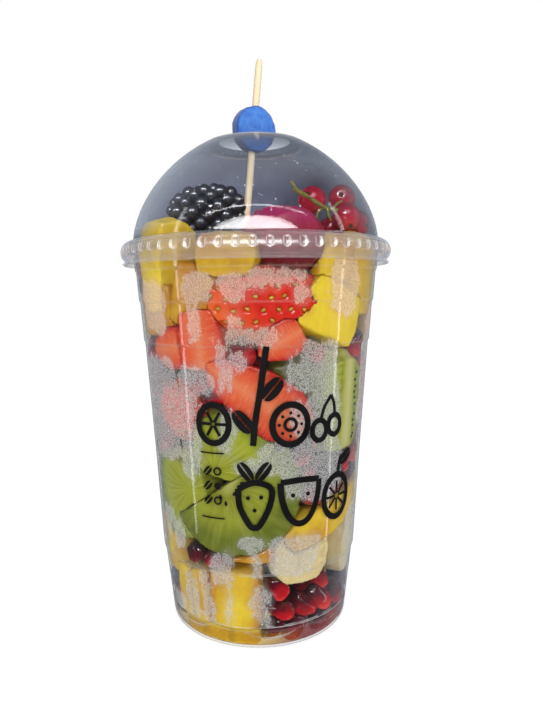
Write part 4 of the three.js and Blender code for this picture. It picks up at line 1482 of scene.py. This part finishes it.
def print_marks():
    """Plain fruit pictograms in two rows, with two fine lines and three small marks beside them."""
    marks = [
        # first row: a citrus slice, a sprig with one tall stem, a kiwi and two cherries
        ring(-19.4, 82.4, 5.5, 6.6, 2.1), *spokes(-19.4, 82.4, 0.6, 4.6, 6, 1.0, 30),
        stroke([(-5.8, 75.4), (-5.0, 84), (-3.4, 94), (-1.4, 108.5)], 2.1, 20),
        *leaf(-9.2, 83.5, 9.0, 4.6, -40), *leaf(0.6, 94.4, 9.0, 4.8, 40),
        ring(6.8, 82.2, 6.2, 6.8, 2.2), ring(6.8, 82.2, 2.0, 2.0, 1.1), *dots(0.55, *SEED_RING),
        ring(17.7, 79.2, 2.9, 3.5, 1.9), ring(24.4, 80.4, 2.9, 3.5, 1.9),
        stroke([(18.4, 83.4), (19.6, 87.0), (22.6, 91.0)], 1.2),
        stroke([(24.4, 84.6), (24.0, 88), (22.6, 91.0)], 1.2),
        # second row: a berry with a leafy crown, a melon wedge and a citrus slice with its leaf
        stroke(BERRY_OUTLINE, 2.1, 44), *leaf(-8.4, 66.4, 7.4, 3.4, -36), *leaf(-2.4, 66.4, 7.4, 3.4, 36),
        *dots(0.7, (-7.6, 57.2), (-3.2, 57.4), (-5.4, 52.8)),
        ribbon(arc(10.6, 62.0, 7.2, 15.0, 90, 270, 40), 2.2),
        stroke([(3.5, 62.2), (10.6, 62.6), (17.7, 62.2)], 2.1),
        *dots(0.75, (7.8, 57.4), (10.6, 54.0), (13.4, 57.4)),
        ring(26.6, 54.0, 6.4, 7.8, 2.2), *spokes(26.6, 54.0, 1.0, 5.4, 8, 0.85),
        stroke([(27.0, 62.6), (27.5, 65.6), (28.8, 68.6)], 1.5), *leaf(31.4, 67.6, 7.6, 3.8, 62),
    ]
    # two fine lines and a column of small marks between them
    marks += [stroke([(-24.4, z), (-20.1, z - 0.1), (-15.8, z)], 0.5) for z in (72.4, 49.3)]
    for row, z in enumerate((66.0, 60.8, 55.6)):
        marks += leaf(-21.8, z, 3.6, 1.9, 40)
        marks += [ring(-18.2, z, 1.15, 1.2, 0.6)] if row % 2 == 0 else dots(1.2, (-18.2, z))
    return marks


def build_print():
    """Each flat mark bent round the wall as a thin solid."""
    parts = []
    for flat, faces in print_marks():
        x, z = flat.T
        base = wall_radius(z) + CUP_WALL
        azimuth = PRINT_AZIMUTH + np.degrees(x / base)
        low, high = (on_wall(azimuth, z, base + rise) for rise in (-PRINT_SINK, PRINT_THICKNESS))
        count = len(flat)
        sides = {pair for face in faces for pair in zip(face, face[1:] + face[:1])}
        rim = [(a + count, b + count, b, a) for a, b in sides if (b, a) not in sides]
        solid = faces + [tuple(i + count for i in face[::-1]) for face in faces] + rim
        parts.append((np.vstack([high, low]), solid))
    return mesh_object("cup_print", *joined(parts), INK, sharp=40, weld=False)


# ---------------------------------------------------------------- assembly

# How fine each piece is made, in millimetres: those out of sight least, those with skin most
HIDDEN_VOXEL, SKIN_VOXEL, FLESH_VOXEL = 1.3, 0.45, 0.8
ROUGH_BUMPS, SMOOTH_BUMPS = 0.5, 0.3


def voxel_of(name):
    if "back" in name or "crest" in name:
        return HIDDEN_VOXEL
    return SKIN_VOXEL if name in ("strawberry_big", "strawberry_fog") else FLESH_VOXEL


fit(build_lid(), "lid_plastic", "lid")
pieces = []
for name in sorted(NODES):
    if name.split("_")[0] in KINDS:
        bumps = ROUGH_BUMPS if name.startswith(("dragon", "mango")) else SMOOTH_BUMPS
        pieces.append(dress(name, voxel_of(name), bumps))
bpy.context.view_layer.update()
skin_seeds([piece for piece in pieces if piece.data.materials[0] == SKIN])
kiwi_seeds(pieces)
fit(build_core(), "pomegranate", "pomegranate_heap")
arils = fit(build_arils(pieces), "pomegranate", "pomegranate_heap")
fit(build_cup(tree_of(pieces + [arils])), "cup_plastic", "cup")
fit(build_berry(), "dark_berry", "dark_berry")
build_currants()
fit(build_stalk(), "currant_stalk", "currant_stalk")
fit(build_pick(), "pick_wood", "pick")
fit(build_disc(), "disc_felt", "pick_disc")
fit(build_juice(), "juice", "juice")
fit(build_sunk_mango(), "mango")
fit(build_specks(), "lid_plastic")
fit(build_print(), "cup_plastic")


# ---------------------------------------------------------------- studio

CAMERA_PLACE = (0, -0.2347, 0.1247)
CAMERA_PITCH, CAMERA_ROLL = 6.11, -0.63  # degrees, the pitch below level
LENS, SENSOR = 30, 36  # millimetres
FRAME_HEIGHT = 720
CENTRE_OFFSET = 14.7  # how far the frame's middle lies right of the cup's axis, in pixels
NEAREST = 0.01  # metres
FLOOR_HALF = 3  # metres
FLOOR_HEIGHT = -0.2  # just under the foot, in millimetres


def build_camera():
    data = bpy.data.cameras.new("camera")
    data.lens = LENS
    data.sensor_width = SENSOR
    data.shift_x = CENTRE_OFFSET / FRAME_HEIGHT
    data.clip_start = NEAREST
    camera = bpy.data.objects.new("camera", data)
    bpy.context.scene.collection.objects.link(camera)
    turn = turned(math.radians(90 - CAMERA_PITCH), "X", 4) @ turned(math.radians(CAMERA_ROLL), "Z", 4)
    camera.matrix_world = Matrix.Translation(CAMERA_PLACE) @ turn
    bpy.context.scene.camera = camera


def area_light(name, place, target, width, height, radiance):
    """A soft box whose face has the given brightness."""
    data = bpy.data.lights.new(name, "AREA")
    data.shape = "RECTANGLE"
    data.size, data.size_y = width, height
    data.energy = radiance * width * height * math.pi
    light = bpy.data.objects.new(name, data)
    light.location = place
    light.rotation_euler = (Vector(target) - Vector(place)).to_track_quat("-Z", "Y").to_euler()
    bpy.context.scene.collection.objects.link(light)
    return light


def build_floor():
    """A pale floor that meets the white background without an edge."""
    f = Finish("pale floor", Roughness=0.8, Specular_IOR_Level=0, Emission_Color=(1, 1, 1, 1),
               Emission_Strength=0.8)
    pale = f.done(f.ramp(f.grain(30), (0.3, 0.34), (0.7, 0.38)))
    corners = np.array([(-1, -1, 0), (1, -1, 0), (1, 1, 0), (-1, 1, 0)]) * FLOOR_HALF / MM
    corners[:, 2] = FLOOR_HEIGHT
    floor = mesh_object("floor", corners, [(0, 1, 2, 3)], pale, smooth=False)
    floor.visible_glossy = False


def build_sky():
    """White behind the cup and all round for soft light, but dim in reflections, as in a room."""
    world = bpy.data.worlds.new("studio")
    world.use_nodes = True
    tree = world.node_tree
    ray = add_node(tree, "LightPath")
    soft = tree.nodes["Background"]
    soft.inputs["Color"].default_value = (0.97, 0.98, 1, 1)
    soft.inputs["Strength"].default_value = 0.6
    shader = soft.outputs[0]
    for rays, strength in (("Is Glossy Ray", 0.07), ("Is Camera Ray", 1.0)):
        other = add_node(tree, "Background", {"Color": (1, 1, 1, 1), "Strength": strength}).outputs[0]
        shader = add_node(tree, "MixShader", {0: ray.outputs[rays], 1: shader, 2: other}).outputs[0]
    tree.links.new(shader, tree.nodes["World Output"].inputs["Surface"])
    bpy.context.scene.world = world


def group(name, members):
    """Pieces that a light can be kept to."""
    made = bpy.data.collections.new(name)
    for piece in members:
        made.objects.link(piece)
    return made


build_camera()
build_floor()
build_sky()
scene = bpy.context.scene
meshes = [piece for piece in scene.collection.objects if piece.type == "MESH"]
CLEAR = ("lid_shell", "cup_shell", "juice_pool")
BERRY_PIECE = "dark_berry_drupelets"
# Starts of the names of the pieces that the dome box lights
UNDER_DOME = ("pick_shaft", "currant", "dragonfruit", "mango_wedge")
clear_ones = group("clear", [piece for piece in meshes if piece.name in CLEAR])
others = group("others", [piece for piece in meshes if piece.name not in (*CLEAR, BERRY_PIECE)])
dome_only = group("dome", [bpy.data.objects["lid_shell"]])
under_dome = group("under the dome", [piece for piece in meshes if piece.name.startswith(UNDER_DOME)])
pick_only = group("pick", [bpy.data.objects["pick_shaft"]])
berry_only = group("berry", [bpy.data.objects[BERRY_PIECE]])

MIDDLE, BELLY, RIM = (0, 0, 0.09), (0, 0, 0.12), (0, 0, 0.147)
FRONT, WINDOW = (0.05, -0.85, 0.75), (0, -0.95, 0.31)
# The soft boxes: name, place, what they face, width, height, brightness, the pieces they light (all of
# them where None stands) and the kind of ray they are hidden from
LIGHTS = [
    ("front box", FRONT, MIDDLE, 0.7, 0.6, 2.4, others, None),
    ("front box without gloss", FRONT, MIDDLE, 0.7, 0.6, 1.9, clear_ones, "glossy"),
    ("dome box", (-0.25, -0.7, 0.6), RIM, 0.4, 0.35, 3.2, under_dome, None),
    ("glint", (-0.28, -0.75, 0.55), MIDDLE, 0.16, 0.1, 45, others, "diffuse"),
    ("berry strip", (-0.15, -0.7, 0.5), RIM, 1.5, 0.07, 70, berry_only, None),
    ("berry box", (0.3, -0.7, 0.3), RIM, 0.5, 0.3, 0.7, berry_only, None),
    ("pick box", (0.2, -0.7, 0.2), RIM, 0.3, 0.3, 18, pick_only, None),
    *[("window", WINDOW, RIM, 1.66 - 0.18 * step, 0.82 - 0.1 * step, 8.6, dome_only, "diffuse")
      for step in range(6)],
    ("high strip", (0, -0.8, 0.95), RIM, 2.0, 0.015, 14, None, None),
    ("left strip", (-0.62, -0.17, 0.16), BELLY, 0.03, 0.9, 4.5, None, None),
    ("right strip", (0.62, -0.07, 0.16), BELLY, 0.03, 0.9, 4.5, None, None),
]
for name, place, target, width, height, radiance, lit, hidden_from in LIGHTS:
    light = area_light(name, place, target, width, height, radiance)
    light.light_linking.receiver_collection = lit
    if name == "window":
        light.data.shape = "ELLIPSE"
    if hidden_from:
        setattr(light, "visible_" + hidden_from, False)
scene.view_settings.view_transform = "Standard"
scene.cycles.transparent_max_bounces = 32
